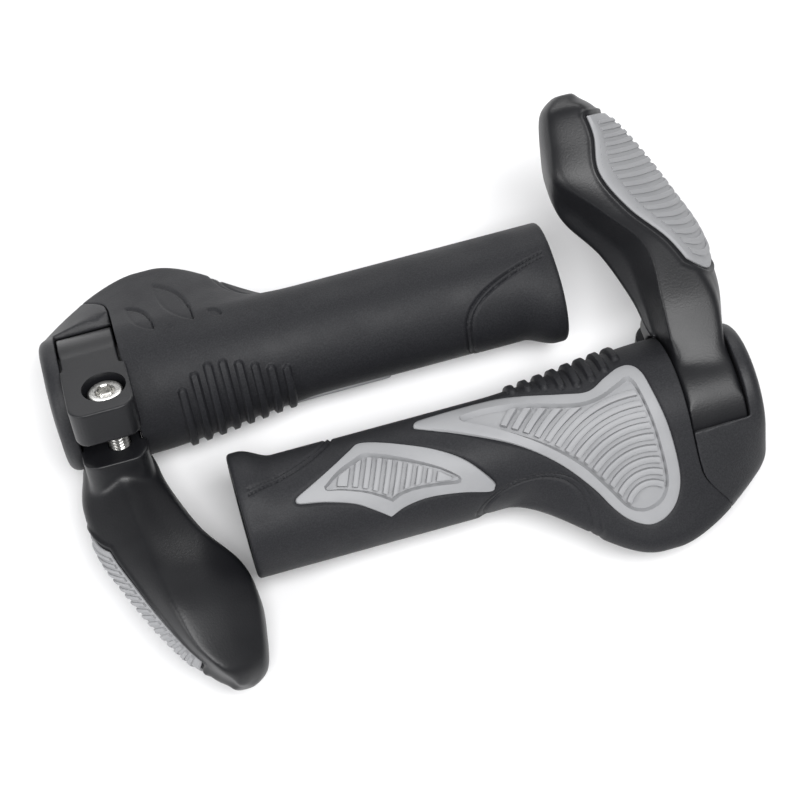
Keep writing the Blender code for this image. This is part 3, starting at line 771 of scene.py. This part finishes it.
SEAM_SOFTNESS, INBOARD_ROUNDING = 6.0, 1.2


def seam_x(reach):
    past = reach - SEAM_KINK
    return SEAM_X - 0.15 + SEAM_SLOPE * 0.5 * (past + np.sqrt(past ** 2 + SEAM_SOFTNESS))


def rubber_rows():
    """Places along the bar, closer together at the ends and the finger ribs."""
    ends = [0.0, 0.12, 0.35, 0.7, 1.2, 1.8]
    fine = list(np.arange(2.3, 31.0, 0.38))
    plain = list(np.arange(31.4, 60.9, 0.7))
    ribs = list(np.arange(61.3, 120.9, 0.36))
    return np.array(ends + fine + plain + ribs)


def make_rubber():
    angles = circle(320)
    rows = rubber_rows()
    x = rows[:, None]
    angle = angles[None, :]
    radius = form_radius(x, angle)
    relief = finger_ribs(x, angle, radius) + thumb_line(x, angle)
    relief += scallop(x, angle) + leaf_relief(x, radius, angle)
    radial = polar(0.0 * x, np.ones_like(radius), angle)
    slant = np.clip(np.sum(form_normal(x, angle) * radial, axis=-1), 0.35, 1.0)
    for runs in (PALM_OUTLINE, HEEL_OUTLINE):
        relief += insert_bed(x, radius, angle, outline(runs, 1.0)) / slant
    rounding = INBOARD_ROUNDING * (1.0 - round_over(x, INBOARD_ROUNDING))
    body = polar(x, radius + relief - rounding, angle)
    rings = list(body)
    rings += seam_rings(angles, rows[-1])
    inner = SLEEVE_RADIUS + 0.3
    mouth = BAR_RADIUS + 0.3
    rings += [ring_at(angles, SEAM_X - 0.15, inner), ring_at(angles, SLEEVE_START_X - 0.3, inner),
              ring_at(angles, SLEEVE_START_X - 0.3, mouth), ring_at(angles, 0.3, mouth),
              ring_at(angles, 0.0, mouth + 0.3)]
    finish_piece(hollow_solid(rings), "rubber_body", "grip_rubber", "grips", "black_rubber",
                 RUBBER, 50.0)


def ring_at(angles, x, radius):
    return polar(np.full(len(angles), x), np.full(len(angles), radius), angles)


def seam_rings(angles, start):
    """Rings that carry the outer surface on to the seam, then down the end face."""
    toward = np.cos(angles - WING_ANGLE)
    end = np.full(len(angles), SEAM_X)
    for _ in range(30):
        end = 0.5 * end + 0.5 * seam_x(form_radius(end, angles) * toward)
    rings = []
    for share in (0.25, 0.5, 0.7, 0.85, 0.95):
        x = start + (end - 0.35 - start) * share
        rings.append(polar(x, form_radius(x, angles), angles))
    for back, drop in ((0.35, 0.0), (0.15, 0.08), (0.04, 0.2), (0.0, 0.4)):
        x = end - back
        rings.append(polar(x, form_radius(x, angles) - drop, angles))
    outer = form_radius(end, angles) - 0.4
    for share in (0.3, 0.6, 0.8):
        radius = outer + (SLEEVE_RADIUS + 0.3 - outer) * share
        rings.append(polar(seam_x(radius * toward), radius, angles))
    return rings


# ---------------- grey inserts

FRAME_HEIGHT, FLOOR_HEIGHT, INSERT_UNDERSIDE = 0.55, -0.95, -1.5


def flat_mesh(loops, spacing, region):
    """Triangles over a region bounded by nested loops, with a grid of points between them."""
    points = np.concatenate(loops)
    edges = []
    start = 0
    for loop in loops:
        count = len(loop)
        edges += [(start + i, start + (i + 1) % count) for i in range(count)]
        start += count
    low, high = region.min(axis=0), region.max(axis=0)
    grid = np.array([(x, y) for x in np.arange(low[0], high[0], spacing)
                     for y in np.arange(low[1], high[1], spacing)])
    grid = grid[inside(region, grid)]
    clear = np.ones(len(grid), bool)
    for loop in loops:
        clear &= distance_to(loop, grid) > 0.6 * spacing
    grid = grid[clear]
    everything = np.vstack([points, grid])
    found = delaunay_2d_cdt([Vector(p) for p in everything], edges, [], 0, 1e-6)
    flat = np.array([tuple(p) for p in found[0]])
    triangles = [tuple(face) for face in found[2]]
    middles = np.array([flat[list(face)].mean(axis=0) for face in triangles])
    keep = inside(region, middles)
    return flat, [face for face, ok in zip(triangles, keep) if ok]


def insert_heights(flat, outer, panel):
    """Frame height with soft edges, and the sunken floor inside the panel."""
    edge = distance_to(outer, flat)
    frame_part = FRAME_HEIGHT * round_over(edge, 0.7)
    to_panel = distance_to(panel, flat) * np.where(inside(panel, flat), 1.0, -1.0)
    sink = ease((to_panel + 0.22) / 0.5)
    return frame_part + (FLOOR_HEIGHT - FRAME_HEIGHT) * sink


def insert_solid(runs, panel_runs):
    outer = outline(runs, 0.7)
    panel = outline(panel_runs, 0.7)
    loops = [outer, inset(outer, 0.25), inset(outer, 0.7),
             inset(panel, -0.25), panel, inset(panel, 0.3)]
    flat, triangles = flat_mesh(loops, 1.1, outer)
    heights = insert_heights(flat, outer, panel)
    top = on_face(flat, heights)
    under, under_triangles = flat_mesh([outer], 2.2, outer)
    bottom = on_face(under, INSERT_UNDERSIDE)
    points = np.vstack([top, bottom])
    shift = len(top)
    faces = list(triangles) + [tuple(i + shift for i in face) for face in under_triangles]
    count = len(outer)
    faces += [(i, (i + 1) % count, shift + (i + 1) % count, shift + i) for i in range(count)]
    return points, faces, panel


RIB_PROFILE = (
    # across the rib, height from floor (0) to top (1)
    (0.0, -0.3), (0.0, 0.72), (0.07, 0.93), (0.2, 1.0), (0.5, 1.03), (0.8, 1.0), (0.93, 0.93),
    (1.0, 0.72), (1.0, -0.3),
)
RIB_TOP = 0.55


def rib_on_face(first, second):
    """A raised bar between two edge curves of equal length, on the insert's floor."""
    rows = []
    for share, level in RIB_PROFILE:
        flat = first + (second - first) * share
        height = FLOOR_HEIGHT + (RIB_TOP - FLOOR_HEIGHT) * level
        rows.append(on_face(flat, height))
    return np.stack(rows, axis=1)


def clipped(curve, region, count):
    """The longest run of a curve inside a region, resampled."""
    ok = inside(region, curve)
    best, start = (0, 0), None
    for index, flag in enumerate(list(ok) + [False]):
        if flag and start is None:
            start = index
        if not flag and start is not None:
            if index - start > best[1] - best[0]:
                best = (start, index)
            start = None
    if best[1] - best[0] < 4:
        return None
    run = curve[best[0]:best[1]]
    return points_at(run, np.linspace(0, lengths_along(run)[-1], count))


def rib_curves_between(region, curve_at, tip, first, pitch, width, count, end, points):
    """Pairs of edge curves of the ribs, with a solid tip at each end."""
    spans = [(tip, first - pitch + width)]
    spans += [(first + i * pitch, first + i * pitch + width) for i in range(count)]
    spans.append((first + count * pitch, end))
    pairs = []
    for span in spans:
        curves = [clipped(curve_at(place), region, points) for place in span]
        if curves[0] is not None and curves[1] is not None:
            pairs.append(curves)
    return pairs


def palm_rib_curves(panel):
    """The palm ribs are arcs about the rib centre."""
    turn = np.linspace(math.radians(-20), math.radians(215), 900)
    direction = np.stack([np.cos(turn), np.sin(turn)], axis=1)
    centre = np.array(RIB_CENTRE)
    return rib_curves_between(inset(panel, 1.0), lambda radius: centre + direction * radius,
                              tip=0.4, first=5.6, pitch=3.05, width=1.7, count=14, end=55.2,
                              points=30)


def heel_rib_curves(panel):
    """The heel ribs are leaning bars."""
    reach = np.linspace(-16, 16, 900)[:, None]
    direction = np.array([0.44, 1.0]) / math.hypot(0.44, 1.0)
    return rib_curves_between(inset(panel, 0.95), lambda at: [at, 0.0] + reach * direction,
                              tip=25.0, first=29.5, pitch=3.0, width=1.6, count=8, end=58.2,
                              points=20)


def make_insert(name, node_name, runs, panel_runs, rib_curves):
    points, faces, panel = insert_solid(runs, panel_runs)
    for first, second in rib_curves(panel):
        rib = rib_on_face(first, second)
        faces += strip_faces(rib.shape[0], rib.shape[1], len(points))
        points = np.vstack([points, rib.reshape(-1, 3)])
    finish_piece(raw_object(points, faces), name, node_name, "grips", "grey_rubber", GREY, 38.0)


# ---------------- horn

DISHED_REACH = 57.0               # as far as this the inboard flank is hollow


def horn_section(values):
    """The corners of one cross-section of the horn, from a row of HORN_SECTIONS."""
    reach, tilt, inner, crease, edge, outer, keel, middle, flank, top, rim, keel_t = values
    if reach <= DISHED_REACH:
        side = ((inner + crease) / 2, flank - 1.4)
        shoulder = (crease, top - 1.0)
    else:
        side = (inner + 0.06 * (edge - inner), middle + 0.6 * (top - middle))
        shoulder = (inner + 0.28 * (edge - inner), middle + 0.9 * (top - middle))
    flat = (
        (inner, middle),
        side,
        shoulder,
        (edge, top),
        ((edge + outer) / 2 + 0.6, (top + rim) / 2 + 0.9),
        (outer, rim),
        (outer - 1.6, rim - 0.34 * (rim - keel_t)),
        (keel, keel_t),
        ((keel + inner) / 2, 0.74 * keel_t),
        (inner + 1.3, middle + 0.36 * keel_t),
    )
    outward = np.array([0.0, math.cos(HORN_ANGLE), math.sin(HORN_ANGLE)])
    over = np.array([0.0, -math.sin(HORN_ANGLE), math.cos(HORN_ANGLE)])
    return np.array([np.array([x, 0, 0]) + outward * (reach + tilt * height) + over * height
                     for x, height in flat])


SECTIONS = np.array([horn_section(values) for values in HORN_SECTIONS])
# How round the skin is at each corner of a section: 1 is smooth, 0 is a crease
ROUNDNESS = np.array([1.0, 1.0, 0.12, 0.8, 1.0, 0.55, 1.0, 0.6, 1.0, 0.6])
CREASE_CORNER, CREASE_LAST_ROW = 2, 4


def skin_point(around, along):
    """Points of the horn's skin for arrays of the two skin coordinates."""
    around, along = np.broadcast_arrays(np.asarray(around, float), np.asarray(along, float))
    count, last = SECTIONS.shape[1], SECTIONS.shape[0] - 1
    column = np.floor(around).astype(int)
    row = np.clip(np.floor(along).astype(int), 0, last - 1)
    part_a, part_b = (around - column)[..., None], (along - row)[..., None]

    def roundness(corner, index):
        plain = ROUNDNESS[corner]
        faded = np.clip(plain + 0.5 * (index - CREASE_LAST_ROW), plain, 1.0)
        return np.where(corner == CREASE_CORNER, faded, plain)[..., None]

    def on_section(index):
        index = np.clip(index, 0, last)
        corner, after = column % count, (column + 1) % count
        start, end = SECTIONS[index, corner], SECTIONS[index, after]
        leave = (end - SECTIONS[index, (column - 1) % count]) / 2 * roundness(corner, index)
        arrive = (SECTIONS[index, (column + 2) % count] - start) / 2 * roundness(after, index)
        return hermite(start, leave, end, arrive, part_a)

    points = [on_section(row + shift) for shift in (-1, 0, 1, 2)]
    first, final = (row == 0)[..., None], (row == last - 1)[..., None]
    points[0] = np.where(first, 2 * points[1] - points[2], points[0])
    points[3] = np.where(final, 2 * points[2] - points[1], points[3])
    return catmull(*points, part_b)


def skin_normal(around, along):
    step = 0.01
    a = skin_point(around + step, along) - skin_point(around - step, along)
    ahead = np.clip(along + step, 0, len(SECTIONS) - 1 - step)
    b = skin_point(around, ahead) - skin_point(around, along - step)
    normal = np.cross(a, b)
    return normal / np.linalg.norm(normal, axis=-1, keepdims=True)


def horn_skin():
    around_steps, along_steps = 14, 12
    count, last = SECTIONS.shape[1], SECTIONS.shape[0] - 1
    around = np.arange(count * around_steps) / around_steps
    along = np.arange(last * along_steps + 1) / along_steps
    rings = list(skin_point(around[None, :], along[:, None]))
    return edit_faces(tube_solid(rings), bmesh.ops.triangulate)


def pad_skin(over, run):
    """Skin coordinates inside the pad: over runs across it, run along it, both 0 to 1."""
    around = PAD_FIRST + (PAD_LAST - PAD_FIRST) * over
    start = PAD_START - 0.1 + 1.9 * (over - 0.4) ** 2
    end = PAD_END - 0.25 * over ** 2
    return around, start + (end - start) * run


def make_lug(bottom, top, front):
    """A lug of the clamp, with two rounded front corners."""
    loop = [(EAR_INBOARD_X, 0.0)]
    for middle, first in ((EAR_INBOARD_X + EAR_CORNER, math.pi),
                          (EAR_OUTBOARD_X - EAR_CORNER, math.pi / 2)):
        for step in range(9):
            angle = first - step * math.pi / 16
            loop.append((middle + EAR_CORNER * math.cos(angle),
                         front - EAR_CORNER + EAR_CORNER * math.sin(angle)))
    loop.append((EAR_OUTBOARD_X, 0.0))
    rings = [np.array([(x, y, z) for x, y in loop]) for z in (bottom, top)]
    return tube_solid(rings)


def make_bar_end():
    ring_start, ring_end = SEAM_X + SIDE_GAP, WINDOW_END_X - SIDE_GAP
    body = bar_cylinder(RING_RADIUS, ring_start, ring_end, 128)
    join(body, make_lug(EAR_BOTTOM_Z, EAR_TOP_Z, EAR_FRONT_Y),
         make_lug(LEDGE_Z - 2.0, LUG_TOP_Z, LUG_FRONT_Y), horn_skin())
    seat = EAR_BOTTOM_Z + HEAD_RECESS + HEAD_HEIGHT + WASHER_THICKNESS
    cut(body,
        block((110, 4, EAR_TOP_Z), (150, 50, LEDGE_Z)),
        bar_cylinder(SLEEVE_RADIUS + 0.3, 100, 160, 96),
        bar_cylinder(barrel_radius(SEAM_X) + 0.5, 100, ring_start, 96),
        bar_cylinder(barrel_radius(WINDOW_END_X) + 0.5, ring_end, 160, 96))
    remesh(body, 0.38)
    relax(body, root_weight, 50)
    relax(body, tip_weight, 14)
    relax(body, lambda points: np.full(len(points), 0.35), 2)
    pad_rim(body)
    cut(body,
        bolt_cylinder(BOLT_RADIUS + 0.3, -30, 19, 48),
        bolt_cylinder(COUNTERBORE_RADIUS, -30, seat + 0.05, 64))
    finish_piece(body, "bar_end_moulding", "bar_end", "bar_end_clamp", "black_nylon", NYLON, 60.0)


def root_weight(points):
    """Where the horn grows out of the ring: smoothed into a fillet."""
    radius = np.hypot(points[:, 1], points[:, 2])
    turn = np.degrees(wrap(np.arctan2(points[:, 2], points[:, 1])))
    near = 1.0 - ease(np.abs(radius - 19.0) / 4.0)
    top = ease((turn - 35) / 20) * (1 - ease((turn - 112) / 12))
    y, z = points[:, 1], points[:, 2]
    lug = np.exp(-((y - 29.0) / 5.0) ** 2 - ((z - 9.0) / 5.0) ** 2) * ease((z - 3.2) / 2.0)
    return np.maximum(0.7 * near * top, 0.75 * lug)


def horn_reach(points):
    return points[:, 1] * math.cos(HORN_ANGLE) + points[:, 2] * math.sin(HORN_ANGLE)


def tip_weight(points):
    return 0.6 * ease((horn_reach(points) - 83.0) / 4.0)


def pad_rim(item):
    """A raised lip and a groove in the horn round the pad."""
    share = np.linspace(0, 1, 120)
    edge = [skin_point(*pad_skin(np.zeros(120), share)), skin_point(*pad_skin(np.ones(120), share)),
            skin_point(*pad_skin(share, np.zeros(120))), skin_point(*pad_skin(share, np.ones(120)))]
    edge = np.concatenate(edge)
    mesh = item.data
    points = np.array([vertex.co for vertex in mesh.vertices])
    normals = np.array([vertex.normal for vertex in mesh.vertices])
    near = points[:, 0] > 112
    distance = np.full(len(points), 99.0)
    chosen = np.where(near & (np.hypot(points[:, 1], points[:, 2]) > 28))[0]
    for index in chosen:
        distance[index] = np.sqrt(((edge - points[index]) ** 2).sum(axis=1).min())
    lift = -0.45 * line(distance, 0.15, 0.5) + 0.40 * line(distance, 1.35, 0.55)
    lift *= 1.0 - ease((horn_reach(points) - 84.0) / 3.0)
    moved = points + normals * lift[:, None]
    mesh.vertices.foreach_set("co", moved.ravel())
    mesh.update()


def make_horn_pad():
    rows, columns = 90, 26
    run = np.linspace(0, 1, rows)[:, None]
    over = np.linspace(0, 1, columns)[None, :]
    around, along = pad_skin(over, run + 0 * over)
    base = skin_point(around, along)
    normal = skin_normal(around, along)
    width = np.linalg.norm(base[:, -1] - base[:, 0], axis=1)[:, None]
    length = np.linalg.norm(base[-1, 0] - base[0, 0])
    edge = np.minimum(np.minimum(over, 1 - over) * width, np.minimum(run, 1 - run) * length)
    height = 0.4 * round_over(edge, 0.8)
    top = base + normal * height[..., None]
    bottom = base - normal * 1.4
    points = np.vstack([top.reshape(-1, 3), bottom.reshape(-1, 3)])
    faces = grid_faces(rows, columns) + grid_faces(rows, columns, start=rows * columns)
    rim = ([(0, c) for c in range(columns)] + [(r, columns - 1) for r in range(1, rows)]
           + [(rows - 1, c) for c in range(columns - 2, -1, -1)]
           + [(r, 0) for r in range(rows - 2, 0, -1)])
    for (r0, c0), (r1, c1) in zip(rim, rim[1:] + rim[:1]):
        a, b = r0 * columns + c0, r1 * columns + c1
        faces.append((a, b, rows * columns + b, rows * columns + a))
    for index in range(17):
        rib = pad_rib((index + 1.15) / 18.6)
        faces += strip_faces(rib.shape[0], rib.shape[1], len(points))
        points = np.vstack([points, rib.reshape(-1, 3)])
    finish_piece(raw_object(points, faces), "thumb_pad", "horn_pad", "bar_end_clamp",
                 "grey_rubber", GREY, 38.0)


PAD_RIB_WIDTH = 0.030
PAD_BORDER = 0.13


def pad_rib(at):
    """A raised bar across the pad, from its border round to the outboard edge."""
    over = np.linspace(PAD_BORDER, 0.985, 26)
    rows = []
    for share, level in RIB_PROFILE:
        run = at + (share - 0.5) * PAD_RIB_WIDTH
        around, along = pad_skin(over, np.full_like(over, run))
        height = 0.35 + 0.55 * level
        rows.append(skin_point(around, along) + skin_normal(around, along) * height)
    return np.stack(rows, axis=1)


# ---------------- end cap and small parts


def form_solid(stations):
    """The form through stations of (along, how far below its surface)."""
    angles = circle(200)
    rings = [polar(x, form_radius(x, angles) - back, angles) for x, back in stations]
    return edit_faces(tube_solid(rings), bmesh.ops.triangulate)


def seam_cutter(shift):
    """Everything inboard of the seam."""
    far = 60.0
    reaches = [-far, 0.0, 10.0, *np.arange(16.0, 34.0, 1.0), 45.0, far]
    loop = [(float(seam_x(reach)) + 0.15 + shift, reach) for reach in reaches]
    loop += [(60.0, far), (60.0, -far)]
    wing = np.array([0, math.cos(WING_ANGLE), math.sin(WING_ANGLE)])
    normal = np.array([0, -wing[2], wing[1]])
    base = np.array([np.array([x, 0, 0]) + wing * reach for x, reach in loop])
    return tube_solid([base - normal * far, base + normal * far])


def window_cutter():
    room = bar_cylinder(WINDOW_RADIUS, 110, WINDOW_END_X, 128)
    opening = WINDOW_TOP_ANGLE + math.tau - WINDOW_BOTTOM_ANGLE
    fan = [np.array([110.0, 0.0, 0.0])]
    for step in range(13):
        angle = WINDOW_TOP_ANGLE - opening * step / 12
        fan.append(np.array([110.0, 50 * math.cos(angle), 50 * math.sin(angle)]))
    base = np.array(fan)
    return join(room, tube_solid([base, base + np.array([WINDOW_END_X - 110.0, 0, 0])]))


def make_end_cap():
    stations = [(120 + 0.8 * i, 0.0) for i in range(26)]
    stations += [(140.6, 0.0), (141.2, 0.06), (141.8, 0.25), (142.4, 0.55), (142.9, 0.95),
                 (143.3, 1.5), (143.6, 2.2), (143.8, 3.2)]
    cap = form_solid(stations)
    cut(cap, seam_cutter(0.15), window_cutter(),
        bar_cylinder(SLEEVE_RADIUS + 0.3, 100, SLEEVE_END_X + 0.3, 96),
        bar_cylinder(PLUG_HOLE_RADIUS, 100, 150, 96),
        bar_cylinder(PLUG_SEAT_RADIUS, CAP_END_X - 1.6, 150, 96))
    remesh(cap, 0.34, 0.5)
    relax(cap, lambda points: np.full(len(points), 0.4), 4)
    relax(cap, cap_flank_weight, 30)
    finish_piece(cap, "outboard_cap", "end_cap", "grips", "cap_plastic", CAP, 60.0)


def cap_flank_weight(points):
    """The cap's share of the wing, away from the seam and the window."""
    radius = np.hypot(points[:, 1], points[:, 2])
    angle = np.arctan2(points[:, 2], points[:, 1])
    seam = seam_x(radius * np.cos(angle - WING_ANGLE))
    return 0.6 * ease((radius - 20.5) / 2.0) * ease((points[:, 0] - seam - 0.8) / 2.0)


def make_end_plug():
    """Domed plug: its rim and dome over the cap's middle, and the stem in the sleeve."""
    start, face = CAP_END_X - 1.3, CAP_END_X + 0.2
    profile = [(134.0, 0.6), (134.0, 9.8), (134.5, 10.3), (start, 10.3), (start, 12.5),
               (start + 0.2, 12.8), (face - 0.35, 12.8), (face - 0.1, 12.55),
               (face, 12.2), (face + 0.25, 9.0), (face + 0.45, 5.0), (face + 0.5, 0.6)]
    plug = tube_solid([ring_at(circle(96), x, radius) for x, radius in profile])
    finish_piece(plug, "cap_plug", "end_plug", "grips", "cap_plastic", CAP, 35.0)


def make_sleeve():
    profile = [(SLEEVE_START_X, BAR_RADIUS + 0.4), (SLEEVE_START_X, SLEEVE_RADIUS - 0.4),
               (SLEEVE_START_X + 0.4, SLEEVE_RADIUS), (SLEEVE_END_X - 0.4, SLEEVE_RADIUS),
               (SLEEVE_END_X, SLEEVE_RADIUS - 0.4), (SLEEVE_END_X, BAR_RADIUS + 0.3),
               (SLEEVE_END_X - 0.3, BAR_RADIUS), (SLEEVE_START_X + 0.4, BAR_RADIUS)]
    sleeve = turned(profile, 96)
    cut(sleeve, block((116, 0, -1), (150, 20, 1)))
    finish_piece(sleeve, "inner_sleeve", "core_sleeve", "grips", "sleeve_plastic", SLEEVE, 35.0)


def hexagon_radius(flats, angles):
    return flats / 2 / np.cos(wrap((angles % (math.pi / 3)) - math.pi / 6))


def thread_radius(height, angle, hand):
    """Radius of a 60 degree thread at a height and an angle."""
    phase = (height / THREAD_PITCH - hand * angle / math.tau) % 1.0
    ridge = np.abs(phase * 2.0 - 1.0)
    return BOLT_RADIUS - THREAD_DEPTH * np.clip((ridge - 0.12) / 0.76, 0.0, 1.0)


def make_bolt(side):
    """Socket-head bolt: knurled head, hexagon socket and a real helical thread."""
    face = EAR_BOTTOM_Z + HEAD_RECESS
    under = face + HEAD_HEIGHT - 0.15
    angles = circle(96)
    hexagon = hexagon_radius(SOCKET_FLATS, angles)
    rings = []

    def ring(height, radius):
        rings.append(bolt_ring(angles, radius, height))

    knurl = 0.10 * (np.arange(len(angles)) % 2)
    ring(face + SOCKET_DEPTH + 0.8, 0.3)
    ring(face + SOCKET_DEPTH, 0.86 * hexagon)
    ring(face + SOCKET_DEPTH, hexagon)
    ring(face + 0.35, hexagon)
    ring(face, np.maximum(hexagon, 2.85))
    ring(face, 4.25)
    ring(face + 0.12, 4.55)
    ring(face + 0.55, 4.88)
    ring(face + 0.75, 4.9 + knurl)
    ring(under - 0.6, 4.9 + knurl)
    ring(under - 0.35, 4.88)
    ring(under, 4.7)
    ring(under, 3.3)
    ring(under + 0.4, 3.0)
    hand = 1.0 if side == "right" else -1.0
    tip = under + BOLT_LENGTH
    shank_end = under + 1.2
    ring(shank_end, 2.98)
    for height in np.arange(shank_end + 0.1, tip - 0.9, THREAD_PITCH / 8):
        fade = min(1.0, (height - shank_end) / 1.0)
        radius = 2.98 + (thread_radius(height, angles, hand) - 2.98) * fade
        ring(height, radius)
    ring(tip - 0.8, 2.45)
    ring(tip, 2.0)
    return tube_solid(rings)


def make_bolts():
    for side in SIDES:
        work = make_bolt(side)
        place(work, side, "clamp_bolt", "pinch_bolt", "bolt", "steel", STEEL, 32.0)
        bpy.data.objects.remove(work)


def make_washer():
    seat = EAR_BOTTOM_Z + HEAD_RECESS + HEAD_HEIGHT
    low, high = seat + 0.02, seat + WASHER_THICKNESS - 0.15
    profile = [(low, 3.3), (low, WASHER_RADIUS - 0.2), (low + 0.2, WASHER_RADIUS),
               (high - 0.1, WASHER_RADIUS), (high, WASHER_RADIUS - 0.1), (high, 3.3)]
    finish_piece(turned(profile, 72, (BOLT_X, BOLT_Y), "Z"), "head_washer", "bolt_washer",
                 "washer", "steel", STEEL, 35.0)


def make_nut():
    """Hexagonal insert with chamfered corners, moulded into the horn's root."""
    angles = circle(72)
    hexagon = hexagon_radius(NUT_FLATS, angles)
    corner = np.minimum(hexagon, 5.05)
    low, high = NUT_Z, NUT_Z + NUT_THICKNESS
    rings = [bolt_ring(angles, radius, height)
             for height, radius in ((low, 3.3), (low, corner), (low + 0.5, hexagon),
                                    (high - 0.5, hexagon), (high, corner), (high, 3.3))]
    finish_piece(hollow_solid(rings), "nut_insert", "thread_insert", "bar_end_clamp",
                 "brass", BRASS, 35.0)


# ---------------- floor, light, camera


def make_floor():
    bm = bmesh.new()
    bmesh.ops.create_grid(bm, x_segments=1, y_segments=1, size=3.0)
    mesh = bpy.data.meshes.new("floor")
    bm.to_mesh(mesh)
    bm.free()
    floor = new_object("floor", mesh)
    floor.location.z = cad_box[0][2] - 0.0002
    made, tree, shader = shader_material("floor_paper", (0.86, 0.86, 0.87), 0.9, specular=0.2)
    cloud = object_noise(tree, 6.0, 2.0)
    vary_colour(tree, shader, cloud, (0.3, (0.85, 0.85, 0.86)), (0.7, (0.88, 0.88, 0.885)))
    mesh.materials.append(made)


def area_light(name, place, target, size, power):
    data = bpy.data.lights.new(name, "AREA")
    data.shape = "RECTANGLE"
    data.size, data.size_y = size
    data.energy = power
    lamp = new_object(name, data)
    lamp.location = place
    lamp.rotation_euler = (Vector(target) - Vector(place)).to_track_quat("-Z", "Y").to_euler()


def make_light():
    world = bpy.data.worlds.new("studio")
    bpy.context.scene.world = world
    world.use_nodes = True
    background = world.node_tree.nodes["Background"]
    background.inputs["Color"].default_value = (1.0, 1.0, 1.0, 1.0)
    background.inputs["Strength"].default_value = 0.30
    area_light("top_box", (0.05, -0.25, 0.85), (0, 0, 0), (0.7, 0.35), 9.0)
    area_light("left_box", (-0.75, -0.25, 0.45), (0, 0, 0.02), (0.25, 0.6), 3.4)
    area_light("rear_strip", (0.1, 0.85, 0.45), (0, 0, 0.02), (1.0, 0.2), 4.0)


CAMERA_AZIMUTH, CAMERA_ELEVATION = math.radians(-16.19), math.radians(68.74)
CAMERA_DISTANCE, CAMERA_LENS = 0.622, 101.0
CAMERA_TARGET = Vector((-0.0002, 0.0021, 0.020))


def make_camera():
    data = bpy.data.cameras.new("camera")
    data.lens = CAMERA_LENS
    data.sensor_width = 36.0
    data.clip_start = 0.01
    camera = new_object("camera", data)
    back = Vector((math.sin(CAMERA_AZIMUTH) * math.cos(CAMERA_ELEVATION),
                   -math.cos(CAMERA_AZIMUTH) * math.cos(CAMERA_ELEVATION),
                   math.sin(CAMERA_ELEVATION)))
    camera.location = CAMERA_TARGET + back * CAMERA_DISTANCE
    camera.rotation_euler = (-back).to_track_quat("-Z", "Y").to_euler()
    bpy.context.scene.camera = camera


# ---------------- build

make_floor()
make_light()
make_camera()
bpy.context.scene.view_settings.view_transform = "Standard"

make_rubber()
make_insert("palm_panel", "palm_insert", PALM_OUTLINE, PALM_PANEL, palm_rib_curves)
make_insert("heel_panel", "heel_insert", HEEL_OUTLINE, HEEL_PANEL, heel_rib_curves)
make_bar_end()
make_horn_pad()
make_end_cap()
make_end_plug()
make_sleeve()
make_bolts()
make_washer()
make_nut()
